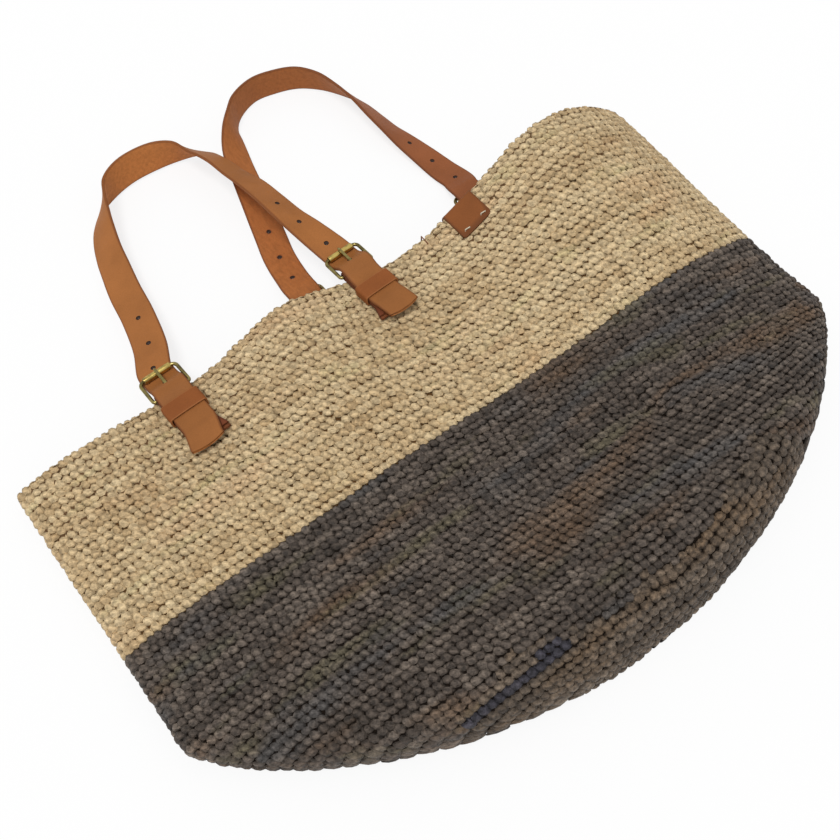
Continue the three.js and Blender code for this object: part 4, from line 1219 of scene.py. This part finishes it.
def make_chape(place):
    """A strap folded round the heel bar, with one long slot for the prong."""
    low, high = -EYE + CHAPE_THICKNESS / 2, CHAPE_TOP - CHAPE_THICKNESS / 2
    middle = WIRE / 2 + CLEARANCE + CHAPE_THICKNESS / 2
    under = [(-CHAPE_LENGTH, low), (-30, low), (-10, low)]
    bend = [(middle * math.sin(a), -middle * math.cos(a)) for a in np.linspace(0, 0.86 * math.pi, 9)]
    over = [(-3.6, 0.55), (-7.5, high), (-25, high), (2 - CHAPE_LENGTH, high)]
    line, _ = flat_line(under + bend + over, 1.0)
    outline = rounded_section(STRAP_WIDTH, CHAPE_THICKNESS, 0.5, across=7, corner=2)
    aside = CHAPE_SKEW.get(place, 0.0) * smooth((-line[:, 1] - CHAPE_SKEW_FROM) / CHAPE_SKEW_OVER)
    piece = station_ribbon(
        place + "_chape_leather", place, line, outline, CHAPE_LEATHER, aside=aside,
        attributes={
            "edge": lambda i, j: np.abs(outline[i, 0]) / (STRAP_WIDTH / 2),
            "flesh": lambda i, j: (outline[i, 1] > 0) * 1.0,
        },
    )
    slot = bmesh.new()
    for a in np.linspace(0.1, 2 * math.pi + 0.1, 24, endpoint=False):
        end = PRONG_SLOT["ahead"] if math.sin(a) > 0 else PRONG_SLOT["behind"]
        x, y = PRONG_SLOT["radius"] * math.cos(a), end + PRONG_SLOT["radius"] * math.sin(a)
        for point in at_station(place, [(x, y, -PRONG_SLOT["reach"]), (x, y, PRONG_SLOT["reach"])]):
            slot.verts.new(point)
    bmesh.ops.convex_hull(slot, input=slot.verts)
    cut_away(piece, slot)
    stand_for(piece, "bag_body", "brown_leather", place + "_chape", sharp=40)


# %% Keepers
KEEPER_CORNER, KEEPER_CROWN = 1.6, 0.35


def make_keeper(place):
    """A band of thin leather, bent to a ring round the strap's tail and the chape."""
    half = STRAP_WIDTH / 2 + SIDE_CLEARANCE + KEEPER_THICKNESS / 2
    low = -EYE - CLEARANCE - KEEPER_THICKNESS / 2
    high = TAIL_REST + STRAP_THICKNESS / 2 + CLEARANCE + KEEPER_THICKNESS / 2
    path, _ = rounded_ring(half, low, high, KEEPER_CORNER, KEEPER_CORNER, 6)
    closed = np.vstack([path, path[:1]])
    travelled = distances(closed)
    marks = np.linspace(0, travelled[-1], 81)[:-1]
    ring = np.stack([np.interp(marks, travelled, closed[:, c]) for c in range(2)], axis=1)
    ring[:, 1] += KEEPER_CROWN * np.cos(ring[:, 0] / half * math.pi / 2) * (ring[:, 1] > 0)
    ahead = np.roll(ring, -1, axis=0) - np.roll(ring, 1, axis=0)
    ahead /= np.linalg.norm(ahead, axis=1, keepdims=True)
    outs = np.stack([ahead[:, 1], -ahead[:, 0]], axis=1)
    outline = rounded_section(KEEPER_LENGTH, KEEPER_THICKNESS, 0.4, across=5, corner=2)
    edge = np.abs(outline[:, 0]) / (KEEPER_LENGTH / 2)
    outline[:, 0] -= KEEPER_AT[place]
    shades = {"edge": lambda i, j: edge[i]}
    name = place + "_keeper_band"
    piece = station_ring(name, place, ring, outs, outline, [0, 2, 1], KEEPER_LEATHER, shades)
    stand_for(piece, place + "_keeper_body", "brown_leather", place + "_keeper", sharp=50)


for place in PLACES:
    make_chape(place)
    make_keeper(place)
print("chapes and keepers:", 2 * len(PLACES))

# %% [markdown]
# ## Buckles
# Each buckle is a bent wire frame with a roller on its far bar and a prong curled round its heel bar. The
# metal is brass with an aged finish: warm where it is rubbed, and olive brown in its hollows. The rollers
# are painted a brighter brass than the frames, as a painted highlight along them.


# %% Brass
def brass(name, bright, aged, low, high):
    """Brass that is bright where it is rubbed, with olive patches and fine scratches."""
    bench = Finish(name)
    patches = bench.noise(170.0, 5.0)
    shades = bench.ramp(patches, (low, linear(aged)), (high, linear(bright)))
    rough = bench.spread(patches, 0.0, 1.0, 0.4, 0.22)
    scratches = bench.noise(1300.0, 3.0, (0.2, 1.0, 1.0))
    return bench.done({"Base Color": shades, "Metallic": 1.0, "Roughness": rough}, scratches, 0.12, 0.0002)


BRASS = brass("antique_brass", (158, 144, 90), (92, 82, 50), 0.33, 0.62)
# The rollers get a brighter copy of the aged brass: a painted highlight along them.
ROLLER_BRASS_WITH_HIGHLIGHT = brass("roller_brass_painted_highlight", (204, 180, 104), (126, 108, 62), 0.3, 0.6)
print("metals:", BRASS.name, ROLLER_BRASS_WITH_HIGHLIGHT.name)


# %% Buckle frames, rollers and prongs
def circle(sides):
    """Points round a circle of radius 1."""
    angles = np.arange(sides) * 2 * math.pi / sides
    return np.stack([np.cos(angles), np.sin(angles)], axis=1)


def make_frame(place):
    """The bent wire, with tight corners at the heel bar and wide ones at the roller."""
    half = STRAP_WIDTH / 2 + SIDE_CLEARANCE + WIRE / 2
    ring, outs = rounded_ring(half, 0.0, BUCKLE_LENGTH, HEEL_RADIUS, TIP_RADIUS, 9)
    outline = WIRE / 2 * circle(16)[:, ::-1]
    piece = station_ring(place + "_buckle", place, ring, outs, outline, [0, 1, 2], BRASS)
    stand_for(piece, place.split("_")[0] + "_handle", "antique_brass", place + "_buckle_frame")


def make_roller(place):
    """The tube that turns on the far bar."""
    length = STRAP_WIDTH + 2 * SIDE_CLEARANCE - 2 * (TIP_RADIUS - WIRE / 2)
    wall = (ROLLER_DIAMETER - ROLLER_BORE) / 2
    outline = rounded_section(length, wall, 0.22, across=7, corner=2)
    outs = circle(32)
    ring = (ROLLER_BORE + wall) / 2 * outs + [BUCKLE_LENGTH, 0.0]
    piece = station_ring(place + "_roller_tube", place, ring, outs, outline, [2, 0, 1], ROLLER_BRASS_WITH_HIGHLIGHT)
    stand_for(piece, place + "_roller_body", "antique_brass", place + "_roller", sharp=50)


def make_prong(place):
    """The flattened wire, curled round the heel bar and laid over the roller."""
    curl = WIRE / 2 + CLEARANCE + 0.65
    stops = [(curl * math.sin(a), -curl * math.cos(a)) for a in np.radians(np.linspace(40, -175, 12))]
    stops += [(3.2, 2.68), (8, 2.95), (14, 3.3), (19, 3.62), (21.5, 3.72), (23.3, 3.35)]
    line, marks = flat_line(stops, 0.5)
    share = marks / marks[-1]
    thick = np.interp(share, [0, 0.33, 0.42, 0.85, 0.96, 1.0], [1.2, 1.3, 1.9, 1.9, 1.5, 0.8])
    wide = np.interp(share, [0, 0.85, 0.96, 1.0], [2.4, 2.3, 2.0, 1.2])
    unit = rounded_section(1.0, 1.0, 0.3, across=3, corner=2)
    piece = station_ribbon(place + "_prong_wire", place, line, unit, BRASS, wide, thick)
    stand_for(piece, place + "_prong_body", "antique_brass", place + "_prong")


for place in PLACES:
    make_frame(place)
    make_roller(place)
    make_prong(place)
print("buckles:", len(PLACES))

# %% [markdown]
# ## Label and threads
# The label is a strip of leather folded over the front rim and held by two small stitches. It is bare.
# The threads are thin and twisted, so they get a fine slanting rib.

# %% Label
LABEL = {
    "x": 99.0, "width": 29.0, "thickness": 1.5, "clearance": 0.6,
    "front": 27.0, "back": 27.0, "corner": 2.0,
}


def make_label():
    """A strip from the front flap's end, over the rim and down inside, with rounded corners in front."""
    outline = rounded_section(LABEL["width"], LABEL["thickness"], 0.45, across=9, corner=2)
    flap, fold = 18, 10
    front_drops, back_drops = np.linspace(LABEL["front"], 0, flap), np.linspace(0, LABEL["back"], flap)
    drops = np.concatenate([front_drops, np.zeros(fold), back_drops])
    turns = np.concatenate([np.zeros(flap), np.linspace(0, math.pi, fold), np.full(flap, math.pi)])
    lift = LABEL["clearance"] + LABEL["thickness"] / 2
    in_front = np.arange(len(drops)) < flap
    from_end = LABEL["front"] - np.where(in_front, drops, 0.0)
    corner = LABEL["corner"]
    rounding = corner - np.sqrt(np.maximum(corner**2 - (corner - from_end) ** 2, 0))
    narrow = 1 - 2 * np.where(from_end < corner, rounding, 0) / LABEL["width"]
    side_edge = np.abs(outline[:, 0]) / (LABEL["width"] / 2)
    end_edge = np.where(in_front, 1 - from_end * 0.02, 0.0)

    def put(i, j):
        x, turn = LABEL["x"] + outline[i, 0] * narrow[j], turns[j]
        share = (turn / math.pi)[:, None]
        middle = panel_point(x, drops[j], 0.0) * (1 - share) + panel_point(x, drops[j], WALL) * share
        out = np.stack([np.zeros_like(turn), np.sin(turn), np.cos(turn)], axis=1)
        return in_frame(middle + out * (lift + outline[i, 1])[:, None])

    shades = {"edge": lambda i, j: np.maximum(side_edge[i], end_edge[j])}
    piece = bent_grid("leather_label", put, len(outline), len(drops) - 1, LABEL_LEATHER, attributes=shades)
    stand_for(piece, "bag_body", "tan_leather", "rim_label", sharp=40)
    print(piece.name, len(piece.data.polygons), "faces")


make_label()


# %% Threads
def thread_material(name, color):
    """Twisted thread, with a fine slanting rib."""
    bench = Finish(name)
    lay = bench.noise(2600.0, 2.0, (1.0, 0.4, 0.8))
    shades = bench.ramp(lay, (0.35, linear(color, 0.6)), (0.6, linear(color)))
    return bench.done({"Base Color": shades, "Roughness": 0.75}, lay, 0.6, 0.0003)


CREAM = thread_material("cream_thread", (216, 205, 180))
BROWN_THREAD = thread_material("brown_thread", (134, 88, 58))
for name, node in frame["nodes"].items():
    if name.endswith("stitch") or name == "rim_thread":
        node.data.materials.clear()
        node.data.materials.append(BROWN_THREAD if name == "rim_thread" else CREAM)
print("threads dressed")

# %% Finish
new_low, new_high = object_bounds()
new_box = [[float(c) for c in new_low], [float(c) for c in new_high]]
print("dressed box, mm:", [[round(c / MM, 1) for c in corner] for corner in new_box])
